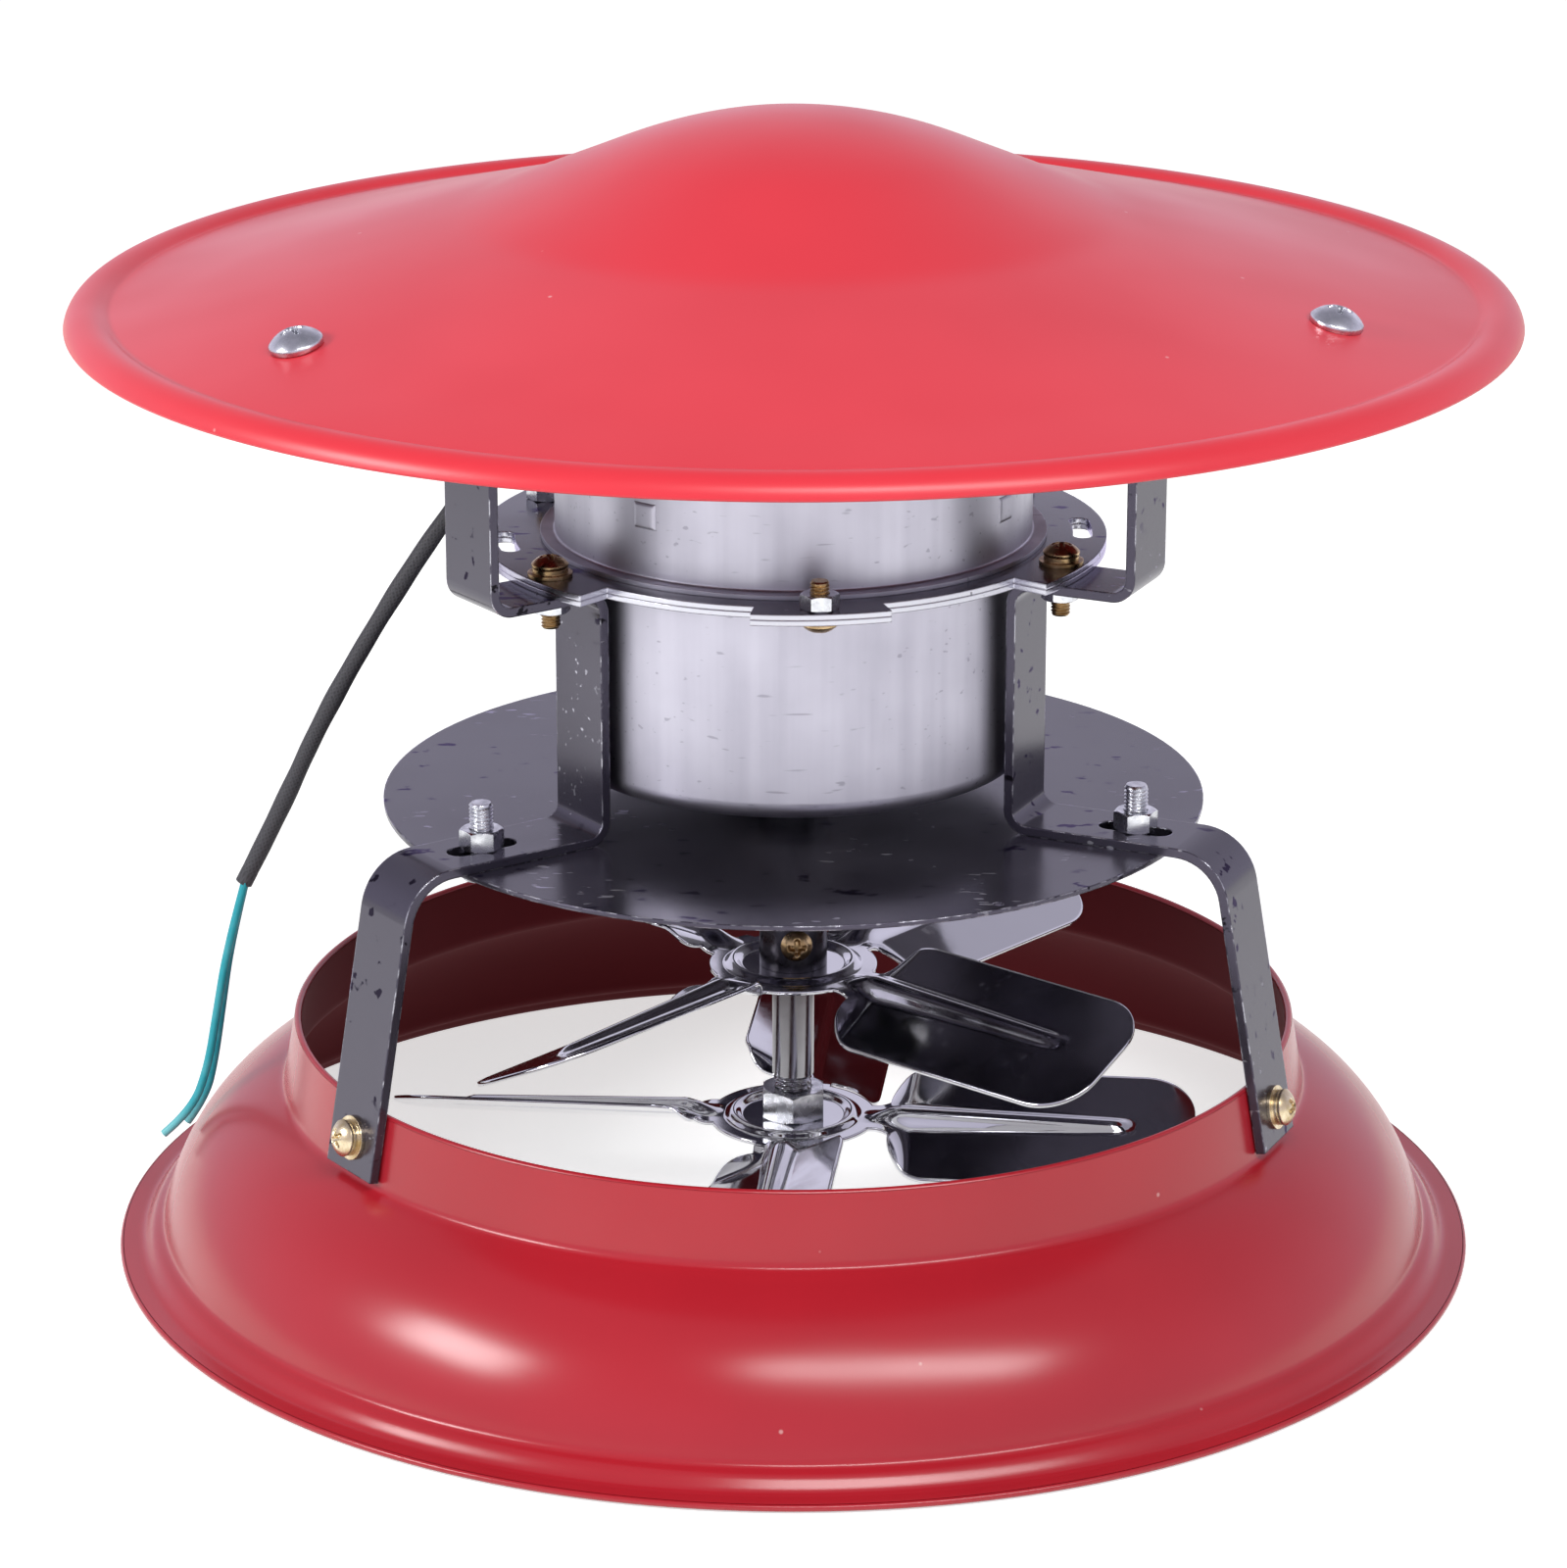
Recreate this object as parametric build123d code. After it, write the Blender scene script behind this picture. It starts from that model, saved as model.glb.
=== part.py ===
from build123d import *
from math import cos, pi, radians, sin, sqrt, tan
import os

# Chimney draught fan for the top of a flue pipe.
# A spun base cowl carries three bent strap legs. The straps hold a heat shield, a canned motor and a
# rain cap, and the motor shaft turns two stamped fans in the mouth of the cowl.
# Millimetres, +Z up, origin on the axis at the underside of the base flange.

# Base cowl, spun from one sheet.
base_sheet = 1.5
flange_radius = 146.0
flange_width = 5.0
step_run = 2.4
step_rise = 3.0
step_fillet = 2.0
ledge_width = 2.2
ledge_rise = 0.8
shoulder_bulge_radius = 40.0
collar_fold_z = 35.3
fold_fillet = 3.0
collar_top_radius = 107.0
collar_top_z = 51.0
collar_lean = 10.2

# Rain cap, spun from one sheet.
cap_sheet = 1.0
cap_radius = 150.0
cap_rise = 7.0
cap_bead_width = 9.0
cap_bead_rise = 4.4
bead_crest_share = 0.4
cap_valley_rise = 3.0
cap_valley_fillet = 2.0
cap_skirt_slope = 14.2
cap_crease_radius = 68.0
cap_cone_slope = 22.4
cap_crown_radius = 100.0

# Strap legs, each bent from one flat bar.
strap_width = 17.0
strap_sheet = 2.0
strap_count = 3
first_strap_angle = -25.0
strap_bend = 3.0
hip_bend = 10.0
strap_tab_inset = 24.0
upright_offset = 28.0
spare_hole_radius = 1.8
spare_hole_drop = 12.0
strap_foot_z = 37.0
drop_gap = 2.0
collar_gap = 0.05
cap_seat_gap = 0.15

# Heat shield disc.
shield_radius = 87.0
shield_sheet = 1.0
shield_top_z = 99.0
shield_shaft_hole = 12.0
shield_bolt_circle = 78.0
seat_slot_length = 16.0
hang_hole_radius = 1.0
hang_hole_circle = 84.2
hang_hole_angle = -61.0

# Motor cans and the two ring plates between them.
can_radius = 50.0
can_sheet = 1.0
can_clearance = 0.3
can_corner = 4.0
can_rim_fillet = 0.5
motor_rise = 9.0
lower_can_height = 45.6
upper_can_height = 40.0
upper_lip_width = 3.0
lower_rim_width = 1.8
plate_sheet = 1.2
plate_width = 15.5
plate_relief_width = 7.5
front_tab_width = 13.0
front_tab_half_angle = 13.0
relief_half_angle = 46.0
ear_offset = 10.5
clamp_offset = 8.5
plate_slot_offset = 26.0
plate_slot_sweep = 11.0
plate_slot_width = 4.0

# Motor inside the cans.
stator_stack = 40.0
stator_bore_radius = 27.5
air_gap = 0.5
slot_count = 12
slot_depth = 11.0
slot_width = 7.0
slot_mouth = 2.4
slot_liner = 0.3
tooth_tip = 3.5
end_turn_height = 10.0
coil_margin = 1.0
coil_lap = 2.0
end_ring_height = 5.0
end_ring_width = 9.0
end_ring_inset = 1.0
bearing_bore_radius = 4.5
bearing_outer_radius = 12.0
bearing_width = 8.0
race_wall = 2.5
ball_count = 7
ball_clearance = 0.1
ball_groove = 0.5
holder_sheet = 1.0
holder_flange = 5.0
bearing_float = 0.5
can_shaft_hole = 8.0

# Shaft and fans.
shaft_radius = 4.5
thread_radius = 4.0
shaft_end_z = 14.0
shaft_end_chamfer = 0.8
thread_top_z = 34.0
fan_sheet = 0.9
fan_bore_radius = 4.6
fan_hub_radius = 18.0
fan_ring_radius = 13.0
fan_ring_height = 1.2
fan_ring_width = 2.6
blade_count = 4
blade_root = 23.0
blade_tip = 87.0
blade_lead = 18.0
blade_trail = 15.0
blade_pitch = 25.0
blade_tip_corner = 11.0
blade_root_corner = 7.0
neck_width = 13.0
neck_lap = 1.0
neck_thinning = 0.15
rib_start_gap = 2.0
rib_end = 72.0
rib_root_radius = 3.0
rib_tip_radius = 1.6
upper_fan_z = 59.0
upper_fan_turn = 49.0
lower_fan_z = 24.0
lower_fan_turn = -6.0
fan_hub_boss_radius = 7.25
fan_hub_boss_height = 12.0
set_screw_rise = 6.5
set_screw_tip_gap = 0.2
set_screw_angle = -85.0
set_screw_head_radius = 3.4

# Fasteners: the M4 screws, the M5 bolts and the M8 fan nuts.
hole_clearance = 0.3
drill_depth = 12.0
cut_over = 1.0
thread_clearance = 0.05
m4_radius = 2.0
m4_nut_flats = 7.0
m4_nut_height = 3.2
hexagon_chamfer = 30.0
m4_head_radius = 3.8
m4_head_height = 2.6
m5_radius = 2.5
m5_flats = 8.0
m5_nut_height = 4.2
m5_head_height = 3.5
m8_flats = 13.0
m8_nut_height = 6.5
cap_screw_inset = 8.0
cap_screw_head_radius = 5.5
cap_screw_head_height = 3.8
cap_screw_tail = 3.5
ear_screw_tail = 3.4
clamp_screw_tail = 2.6
shield_bolt_tail = 5.5
foot_screw_drop = 6.5
foot_screw_tail = 2.5
foot_nut_gap = 0.15
flat_washer_radius = 4.6
flat_washer_sheet = 0.8
spring_washer_radius = 3.7
spring_washer_sheet = 1.0
head_rim_share = 0.3
recess_length = 4.2
recess_width = 0.9
recess_depth = 1.4

# Supply lead: a sleeve over two wires, hanging down the side in the plane y = 0.
sleeve_radius = 2.0
wire_radius = 0.9
wire_spread = 1.0
wire_gap = 0.45
lead_hole_radius = 3.2
grommet_radius = 4.6
grommet_flange = 1.4
grommet_slack = 0.1
grommet_curve_gap = 0.3
lead_start_gap = 3.5
lead_start_drop = 12.5
sleeve_end_inset = 28.4
sleeve_end_z = 77.6
sleeve_shares_out = [0.0, 0.245, 0.484, 0.719, 0.872, 1.0]
sleeve_shares_down = [0.0, 0.185, 0.400, 0.645, 0.849, 1.0]
bend_share = 0.45

# Each wire below the sleeve: how far inside the flange's edge, to which side, and how high.
wire_drop_a = [
    (24.6, -1.3, 63.6),
    (21.8, -1.6, 48.6),
    (19.4, -1.7, 35.6),
    (15.6, -1.7, 25.8),
    (9.4, -1.7, 20.4),
]
wire_drop_b = [
    (25.0, 1.3, 63.6),
    (22.6, 1.7, 48.6),
    (20.6, 1.9, 36.4),
    (18.4, 2.0, 27.6),
    (14.2, 2.0, 21.8),
]

# Places that follow from the sizes above.
strap_angles = [first_strap_angle + i * 360.0 / strap_count for i in range(strap_count)]
clamp_angles = [angle - 180.0 / strap_count for angle in strap_angles]
front_angle = clamp_angles[0]
step_foot_radius = flange_radius - flange_width
step_radius = step_foot_radius - step_run
step_z = base_sheet + step_rise
shoulder_foot_radius = step_radius - ledge_width
shoulder_foot_z = step_z + ledge_rise
strap_tab_end = cap_radius - strap_tab_inset
cap_screw_circle = strap_tab_end - cap_screw_inset
upright_radius = can_radius + upright_offset
upper_lip_radius = can_radius + upper_lip_width
lower_rim_radius = can_radius + lower_rim_width
plate_radius = can_radius + plate_width
plate_relief_radius = can_radius + plate_relief_width
front_tab_radius = can_radius + front_tab_width
ear_circle = can_radius + ear_offset
clamp_circle = can_radius + clamp_offset
shield_bottom_z = shield_top_z - shield_sheet
seat_top_z = shield_top_z + strap_sheet
lower_can_base_z = shield_top_z + motor_rise
plate_bottom_z = lower_can_base_z + lower_can_height
plate_top_z = plate_bottom_z + 2 * plate_sheet
foot_bottom_z = plate_bottom_z - strap_sheet
upper_can_top_z = plate_top_z + upper_can_height
drop_radius = can_radius + drop_gap
stator_mid_z = (lower_can_base_z + upper_can_top_z) / 2
stator_bottom_z = stator_mid_z - stator_stack / 2
stator_top_z = stator_mid_z + stator_stack / 2
lower_bearing_z = lower_can_base_z + can_sheet
upper_bearing_z = upper_can_top_z - can_sheet - bearing_float - bearing_width
fan_half_sheet = fan_sheet / 2
boss_bottom_z = upper_fan_z + fan_half_sheet
set_screw_z = boss_bottom_z + set_screw_rise
rotor_radius = stator_bore_radius - air_gap
cap_lip_z = upper_can_top_z + cap_rise
cap_valley_radius = cap_radius - cap_bead_width
cap_valley_z = cap_lip_z + cap_valley_rise


def cap_skirt_z(radius):
    """Height of the cap's outer skirt cone at a radius."""
    return cap_valley_z + (cap_valley_radius - radius) * tan(radians(cap_skirt_slope))


def cap_tab_z(radius):
    """Height of the strap tab's upper face, just under the cap's sheet."""
    return cap_skirt_z(radius) - (cap_sheet + cap_seat_gap) / cos(radians(cap_skirt_slope))


def collar_radius(z):
    """Outer radius of the leaning collar at a height."""
    return collar_top_radius + (collar_top_z - z) * tan(radians(collar_lean))


def leg_radius(z):
    """Radius of the leg's inner face, which runs on in line with the collar's wall."""
    return collar_radius(z) + collar_gap / cos(radians(collar_lean))


def turned(profile):
    """A face drawn in radius and height, turned about the axis."""
    return revolve(Plane.XZ * profile, Axis.Z)


def sheet_face(path, thickness):
    """The section of a sheet whose outer side follows the path and whose metal lies on its left."""
    return make_face(offset(path, thickness, side=Side.LEFT, closed=True).edges())


def ring(inner, outer, bottom, top):
    """A plain ring about the axis."""
    return Pos(0, 0, bottom) * extrude(Circle(outer) - Circle(inner), top - bottom)


def annular_sector(inner, outer, start, end):
    """A flat ring piece between two angles in degrees."""
    edges = [
        CenterArc((0, 0), outer, start, end - start),
        CenterArc((0, 0), inner, start, end - start),
    ]
    for angle in (start, end):
        direction = (cos(radians(angle)), sin(radians(angle)))
        near = (inner * direction[0], inner * direction[1])
        far = (outer * direction[0], outer * direction[1])
        edges.append(Line(near, far))
    return make_face(edges)


def around(shapes, angles):
    """Copies of the shapes turned about the axis to each angle, as separate solids."""
    return Compound(children=[Rot(0, 0, angle) * shape for angle in angles for shape in shapes])


# Fastener shapes: the seat is at z = 0, the head above it and the shank below.


def cross_recess(top):
    """The crossed driver recess sunk in a head's crown."""
    bar = Box(recess_length, recess_width, recess_depth)
    return Pos(0, 0, top - recess_depth / 2) * (bar + Rot(0, 0, 90) * bar)


def domed_screw(head_radius, head_height, length):
    """An M4 screw with a domed head and a crossed recess."""
    rim = head_rim_share * head_height
    dome = head_height - rim
    dome_radius = (head_radius**2 + dome**2) / (2 * dome)
    profile = [
        Line((0, -length), (m4_radius, -length)),
        Line((m4_radius, -length), (m4_radius, 0)),
        Line((m4_radius, 0), (head_radius, 0)),
        Line((head_radius, 0), (head_radius, rim)),
        RadiusArc((head_radius, rim), (0, head_height), -dome_radius),
        Line((0, head_height), (0, -length)),
    ]
    return turned(make_face(profile)) - cross_recess(head_height)


def hexagon(flats, height, bore):
    """A hexagon with chamfered corners and a bore, flats facing along X."""
    corner = flats / sqrt(3)
    chamfer_height = (corner - flats / 2) * tan(radians(hexagon_chamfer))
    prism = extrude(RegularPolygon(flats / 2, 6, major_radius=False, rotation=30), height)
    limit = Polyline(
        (0, 0),
        (flats / 2, 0),
        (corner, chamfer_height),
        (corner, height - chamfer_height),
        (flats / 2, height),
        (0, height),
        close=True,
    )
    body = prism & turned(make_face(limit))
    if bore > 0:
        body -= Pos(0, 0, height / 2) * Cylinder(bore, 2 * height)
    return body


def m4_nut():
    """An M4 nut standing on its seat."""
    return hexagon(m4_nut_flats, m4_nut_height, m4_radius + thread_clearance)


def washer(outer, thickness):
    """An M4 washer standing on its seat."""
    return ring(m4_radius + thread_clearance, outer, 0, thickness)


# Where the screws go through the strap, in the strap's own plane.

cap_screw_seat = Location((cap_screw_circle, 0, cap_skirt_z(cap_screw_circle)), (0, cap_skirt_slope, 0))
foot_screw_z = collar_top_z - foot_screw_drop
foot_screw_face = leg_radius(foot_screw_z) + strap_sheet / cos(radians(collar_lean))
foot_screw_seat = Location((foot_screw_face, 0, foot_screw_z), (0, 90 - collar_lean, 0))
m4_hole = m4_radius + hole_clearance
m5_hole = m5_radius + hole_clearance


def drilled(seat, radius):
    """A drill that goes through the sheets at a seat."""
    return seat * Cylinder(radius, drill_depth)


def make_base_cowl():
    """Flange, pressed step, bulging shoulder and leaning collar, open right through."""
    fold = (collar_radius(collar_fold_z), collar_fold_z)
    foot = (shoulder_foot_radius, shoulder_foot_z)
    step = FilletPolyline(
        (flange_radius, base_sheet),
        (step_foot_radius, base_sheet),
        (step_radius, step_z),
        foot,
        radius=step_fillet,
    )
    shoulder = RadiusArc(foot, fold, -shoulder_bulge_radius)
    collar = Line(fold, (collar_top_radius, collar_top_z))
    path = Wire([*step.edges(), shoulder.edge(), collar.edge()])
    bend = path.vertices().sort_by_distance((*fold, 0))[0]
    path = path.fillet_2d(fold_fillet, [bend])
    cowl = turned(sheet_face(path, base_sheet))
    for angle in strap_angles:
        cowl -= Rot(0, 0, angle) * drilled(foot_screw_seat, m4_hole)
    return cowl


def make_rain_cap():
    """Rounded crown, steep cone, flatter skirt and a beaded lip."""
    slope = radians(cap_cone_slope)
    lip = (cap_radius, cap_lip_z)
    bead_top = (cap_radius - bead_crest_share * cap_bead_width, cap_lip_z + cap_bead_rise)
    valley = (cap_valley_radius, cap_valley_z)
    crease = (cap_crease_radius, cap_skirt_z(cap_crease_radius))
    crown_edge_radius = cap_crown_radius * sin(slope)
    crown_edge = (crown_edge_radius, crease[1] + (cap_crease_radius - crown_edge_radius) * tan(slope))
    apex = (0, crown_edge[1] + cap_crown_radius * (1 - cos(slope)))
    bead = ThreePointArc(lip, bead_top, valley)
    skirt = Polyline(valley, crease, crown_edge)
    crown = RadiusArc(crown_edge, apex, -cap_crown_radius)
    path = Wire([bead.edge(), *skirt.edges(), crown.edge()])
    groove = path.vertices().sort_by_distance((*valley, 0))[0]
    path = path.fillet_2d(cap_valley_fillet, [groove])
    cap = turned(sheet_face(path, cap_sheet))
    for angle in strap_angles:
        cap -= Rot(0, 0, angle) * drilled(cap_screw_seat, m4_hole)
    return cap


def make_strap():
    """One bar, bent from the tab under the cap to the foot on the collar, drawn along +X."""
    outside_bend = strap_bend + strap_sheet
    points = [
        (strap_tab_end, cap_tab_z(strap_tab_end)),
        (upright_radius, cap_tab_z(upright_radius)),
        (upright_radius, plate_bottom_z),
        (drop_radius, plate_bottom_z),
        (drop_radius, shield_top_z),
        (leg_radius(shield_top_z), shield_top_z),
        (leg_radius(strap_foot_z), strap_foot_z),
    ]
    bends = [outside_bend, strap_bend, outside_bend, outside_bend, hip_bend]
    section = sheet_face(FilletPolyline(*points, radius=bends), strap_sheet)
    strap = extrude(Plane.XZ * section, strap_width / 2, both=True)
    spare_hole_z = cap_tab_z(upright_radius) - spare_hole_drop - outside_bend
    strap -= drilled(cap_screw_seat, m4_hole)
    strap -= drilled(foot_screw_seat, m4_hole)
    strap -= drilled(Location((upright_radius, 0, spare_hole_z), (0, 90, 0)), spare_hole_radius)
    strap -= drilled(Location((ear_circle, 0, plate_bottom_z)), m4_hole)
    slot = extrude(SlotOverall(seat_slot_length, 2 * m5_hole), drill_depth, both=True)
    strap -= Pos(shield_bolt_circle, 0, shield_top_z) * slot
    return strap


def make_heat_shield():
    """Flat disc under the motor with a shaft hole, bolt holes and a small hanging hole."""
    disc = ring(shield_shaft_hole, shield_radius, shield_bottom_z, shield_top_z)
    for angle in strap_angles:
        disc -= Rot(0, 0, angle) * drilled(Location((shield_bolt_circle, 0, shield_top_z)), m5_hole)
    hanging = drilled(Location((hang_hole_circle, 0, shield_top_z)), hang_hole_radius)
    return disc - Rot(0, 0, hang_hole_angle) * hanging


def make_lower_can():
    """Drawn cup with a turned-out rim that rests on the mount plate."""
    rim_z = plate_bottom_z + plate_sheet
    path = FilletPolyline(
        (can_shaft_hole, lower_can_base_z),
        (can_radius, lower_can_base_z),
        (can_radius, rim_z),
        (lower_rim_radius, rim_z),
        radius=[can_corner, can_rim_fillet],
    )
    return turned(sheet_face(path, can_sheet))


def make_upper_can():
    """Drawn cup, closed at the top, with a lip on the clamp plate and a hole for the lead."""
    path = FilletPolyline(
        (upper_lip_radius, plate_top_z + can_sheet),
        (can_radius, plate_top_z + can_sheet),
        (can_radius, upper_can_top_z),
        (0, upper_can_top_z),
        radius=[can_rim_fillet, can_corner],
    )
    can = turned(sheet_face(path, can_sheet))
    return can - wall_axis * Cylinder(lead_hole_radius, drill_depth)


def ring_plate(bore, bottom):
    """Ring plate round the motor, cut back at the front each side of a clamp tab."""
    outline = Circle(plate_radius) - Circle(bore)
    far = plate_radius + cut_over
    outline -= annular_sector(
        plate_relief_radius, far, front_angle - relief_half_angle, front_angle - front_tab_half_angle
    )
    outline -= annular_sector(
        plate_relief_radius, far, front_angle + front_tab_half_angle, front_angle + relief_half_angle
    )
    outline -= annular_sector(
        front_tab_radius, far, front_angle - front_tab_half_angle, front_angle + front_tab_half_angle
    )
    for angle in strap_angles:
        outline -= Rot(0, 0, angle) * Pos(ear_circle, 0) * Circle(m4_hole)
        for side in (-1, 1):
            middle = angle + side * plate_slot_offset
            away = (middle - front_angle + 180) % 360 - 180
            if abs(away) > relief_half_angle:
                arc = CenterArc((0, 0), ear_circle, middle - plate_slot_sweep / 2, plate_slot_sweep)
                outline -= SlotArc(arc, plate_slot_width)
    for angle in clamp_angles:
        outline -= Rot(0, 0, angle) * Pos(clamp_circle, 0) * Circle(m4_hole)
    return Pos(0, 0, bottom) * extrude(outline, plate_sheet)


def make_bearing_holder():
    """Flanged cup that holds a bearing, drawn with its flange at z = 0."""
    outer = bearing_outer_radius + holder_sheet
    flange = ring(bearing_outer_radius, outer + holder_flange, 0, holder_sheet)
    return flange + ring(bearing_outer_radius, outer, 0, bearing_width)


def make_bearing():
    """Outer race, inner race and balls of one bearing, standing on z = 0."""
    inner_wall = bearing_bore_radius + race_wall
    outer_wall = bearing_outer_radius - race_wall
    pitch = (inner_wall + outer_wall) / 2
    ball_radius = (outer_wall - inner_wall) / 2 + ball_groove - ball_clearance
    middle = bearing_width / 2
    track = Pos(0, 0, middle) * Torus(pitch, ball_radius + ball_clearance)
    outer = ring(outer_wall, bearing_outer_radius, 0, bearing_width) - track
    inner = ring(bearing_bore_radius, inner_wall, 0, bearing_width) - track
    ball = Pos(pitch, 0, middle) * Sphere(ball_radius)
    balls = [Rot(0, 0, i * 360 / ball_count) * ball for i in range(ball_count)]
    return outer, inner, balls


def slot_bar(inner, width, depth, bottom, top):
    """A radial bar or slot from a radius outwards."""
    height = top - bottom
    return Pos(inner + depth / 2, 0, bottom + height / 2) * Box(depth, width, height)


def make_stator_core():
    """Lamination stack with a slot for each coil side, open to the bore."""
    core = ring(stator_bore_radius, can_radius - can_sheet - can_clearance, stator_bottom_z, stator_top_z)
    slot_inner = stator_bore_radius + tooth_tip
    mouth_inner = stator_bore_radius - cut_over
    mouth_depth = tooth_tip + 2 * cut_over
    bottom = stator_bottom_z - cut_over
    top = stator_top_z + cut_over
    slot = slot_bar(slot_inner, slot_width, slot_depth, bottom, top)
    mouth = slot_bar(mouth_inner, slot_mouth, mouth_depth, bottom, top)
    for i in range(slot_count):
        core -= Rot(0, 0, i * 360 / slot_count) * (slot + mouth)
    return core


def make_stator_windings():
    """Coil sides in the slots, joined by the end turns above and below the stack."""
    inner = stator_bore_radius + tooth_tip + slot_liner
    depth = slot_depth - 2 * slot_liner
    coils = ring(inner, inner + depth, stator_bottom_z - end_turn_height, stator_bottom_z - slot_liner)
    coils += ring(inner, inner + depth, stator_top_z + slot_liner, stator_top_z + end_turn_height)
    side = slot_bar(
        inner + coil_margin,
        slot_width - 2 * slot_liner,
        depth - 2 * coil_margin,
        stator_bottom_z - coil_lap,
        stator_top_z + coil_lap,
    )
    for i in range(slot_count):
        coils += Rot(0, 0, i * 360 / slot_count) * side
    return coils


def make_rotor_cage():
    """Cast end rings of the rotor, one above and one below its stack."""
    outer = rotor_radius - end_ring_inset
    inner = outer - end_ring_width
    lower = ring(inner, outer, stator_bottom_z - end_ring_height, stator_bottom_z)
    upper = ring(inner, outer, stator_top_z, stator_top_z + end_ring_height)
    return Compound(children=[lower, upper])


def make_shaft():
    """Shaft from the upper bearing down to the threaded end below the lower fan."""
    top_z = upper_bearing_z + bearing_width
    thread = Pos(0, 0, shaft_end_z) * Cylinder(
        thread_radius, thread_top_z - shaft_end_z, align=(Align.CENTER, Align.CENTER, Align.MIN)
    )
    plain = Pos(0, 0, thread_top_z) * Cylinder(
        shaft_radius, top_z - thread_top_z, align=(Align.CENTER, Align.CENTER, Align.MIN)
    )
    thread = chamfer(thread.edges().sort_by(Axis.Z)[0], shaft_end_chamfer)
    return thread + plain


def make_fan():
    """A fan stamped from one sheet, middle of the sheet at z = 0, first blade along +X."""
    half = fan_half_sheet
    hub = ring(fan_bore_radius, fan_hub_radius, -half, half)
    crest = ring(
        fan_ring_radius - fan_ring_width / 2,
        fan_ring_radius + fan_ring_width / 2,
        half,
        half + fan_ring_height,
    )
    groove = ring(
        fan_ring_radius - fan_ring_width / 2 + half,
        fan_ring_radius + fan_ring_width / 2 - half,
        -half,
        fan_ring_height - half,
    )
    hub = hub + chamfer(crest.edges().group_by(Axis.Z)[-1], half) - groove
    blade = make_blade()
    fan = hub
    for i in range(blade_count):
        fan += Rot(0, 0, i * 360 / blade_count) * blade
    return fan


def make_blade():
    """A pitched blade with rounded corners and a pressed rib, joined to the hub by a twisted neck."""
    half = fan_half_sheet
    middle_y = (blade_trail - blade_lead) / 2
    outline = Pos((blade_root + blade_tip) / 2, middle_y) * Rectangle(
        blade_tip - blade_root, blade_lead + blade_trail
    )
    corners = outline.vertices().group_by(Axis.X)
    outline = fillet(corners[-1], blade_tip_corner)
    outline = fillet(outline.vertices().group_by(Axis.X)[0], blade_root_corner)
    plate = extrude(outline, half, both=True)
    rib_start = blade_root + rib_start_gap
    length = rib_end - rib_start
    outer_rib = pressed_rib(rib_start, length, rib_root_radius, rib_tip_radius)
    inner_rib = pressed_rib(rib_start, length, rib_root_radius - fan_sheet, rib_tip_radius - fan_sheet)
    above = Pos((blade_root + blade_tip) / 2, 0, blade_tip / 2) * Box(2 * blade_tip, blade_tip, blade_tip)
    plate = plate + (outer_rib & above) - inner_rib
    neck_start = sqrt(fan_hub_radius**2 - neck_width**2 / 4) - neck_lap
    flat_end = Plane((neck_start, 0, 0), x_dir=(0, 1, 0), z_dir=(1, 0, 0))
    pitch = radians(blade_pitch)
    pitched_end = Plane((blade_root + neck_lap / 2, 0, 0), x_dir=(0, cos(pitch), sin(pitch)), z_dir=(1, 0, 0))
    section = Rectangle(neck_width, fan_sheet - neck_thinning)
    neck = loft([flat_end * section, pitched_end * section])
    return Rot(blade_pitch, 0, 0) * plate + neck


def pressed_rib(start, length, root_radius, tip_radius):
    """A tapering round bar along +X with ball ends."""
    taper = Pos(start + length / 2, 0, 0) * Rot(0, 90, 0) * Cone(root_radius, tip_radius, length)
    return taper + Pos(start, 0, 0) * Sphere(root_radius) + Pos(start + length, 0, 0) * Sphere(tip_radius)


def make_fan_hub():
    """Boss that clamps the upper fan to the shaft, with a cross hole for its set screw."""
    boss = ring(shaft_radius, fan_hub_boss_radius, boss_bottom_z, boss_bottom_z + fan_hub_boss_height)
    cross_hole = Location((0, 0, set_screw_z), (0, 90, 0)) * Cylinder(
        m4_radius + thread_clearance,
        2 * fan_hub_boss_radius,
        align=(Align.CENTER, Align.CENTER, Align.MIN),
    )
    return boss - Rot(0, 0, set_screw_angle) * cross_hole


def make_set_screw():
    """Screw in the boss, its tip just short of the shaft."""
    seat = Location((fan_hub_boss_radius, 0, set_screw_z), (0, 90, 0))
    length = fan_hub_boss_radius - shaft_radius - set_screw_tip_gap
    screw = domed_screw(set_screw_head_radius, m4_head_height, length)
    return Rot(0, 0, set_screw_angle) * seat * screw


# The lead leaves the upper can on its left side, pointing down and away.

lead_start_x = -can_radius - lead_start_gap
lead_start_z = upper_can_top_z - lead_start_drop
sleeve_run_out = sleeve_end_inset - flange_radius - lead_start_x
sleeve_run_down = sleeve_end_z - lead_start_z
sleeve_points = [
    (lead_start_x + sleeve_run_out * out, 0.0, lead_start_z + sleeve_run_down * down)
    for out, down in zip(sleeve_shares_out, sleeve_shares_down)
]
lead_start = Vector(*sleeve_points[0])
lead_run = Vector(*sleeve_points[1]) - lead_start
lead_nose = lead_run * ((lead_start.X + can_radius - can_sheet / 2) / lead_run.X)
lead_wall = lead_start - lead_nose
wall_axis = Location(Plane(lead_wall, z_dir=(-1, 0, 0)))
nose_axis = Location(Plane(lead_wall, z_dir=lead_nose))


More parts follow.
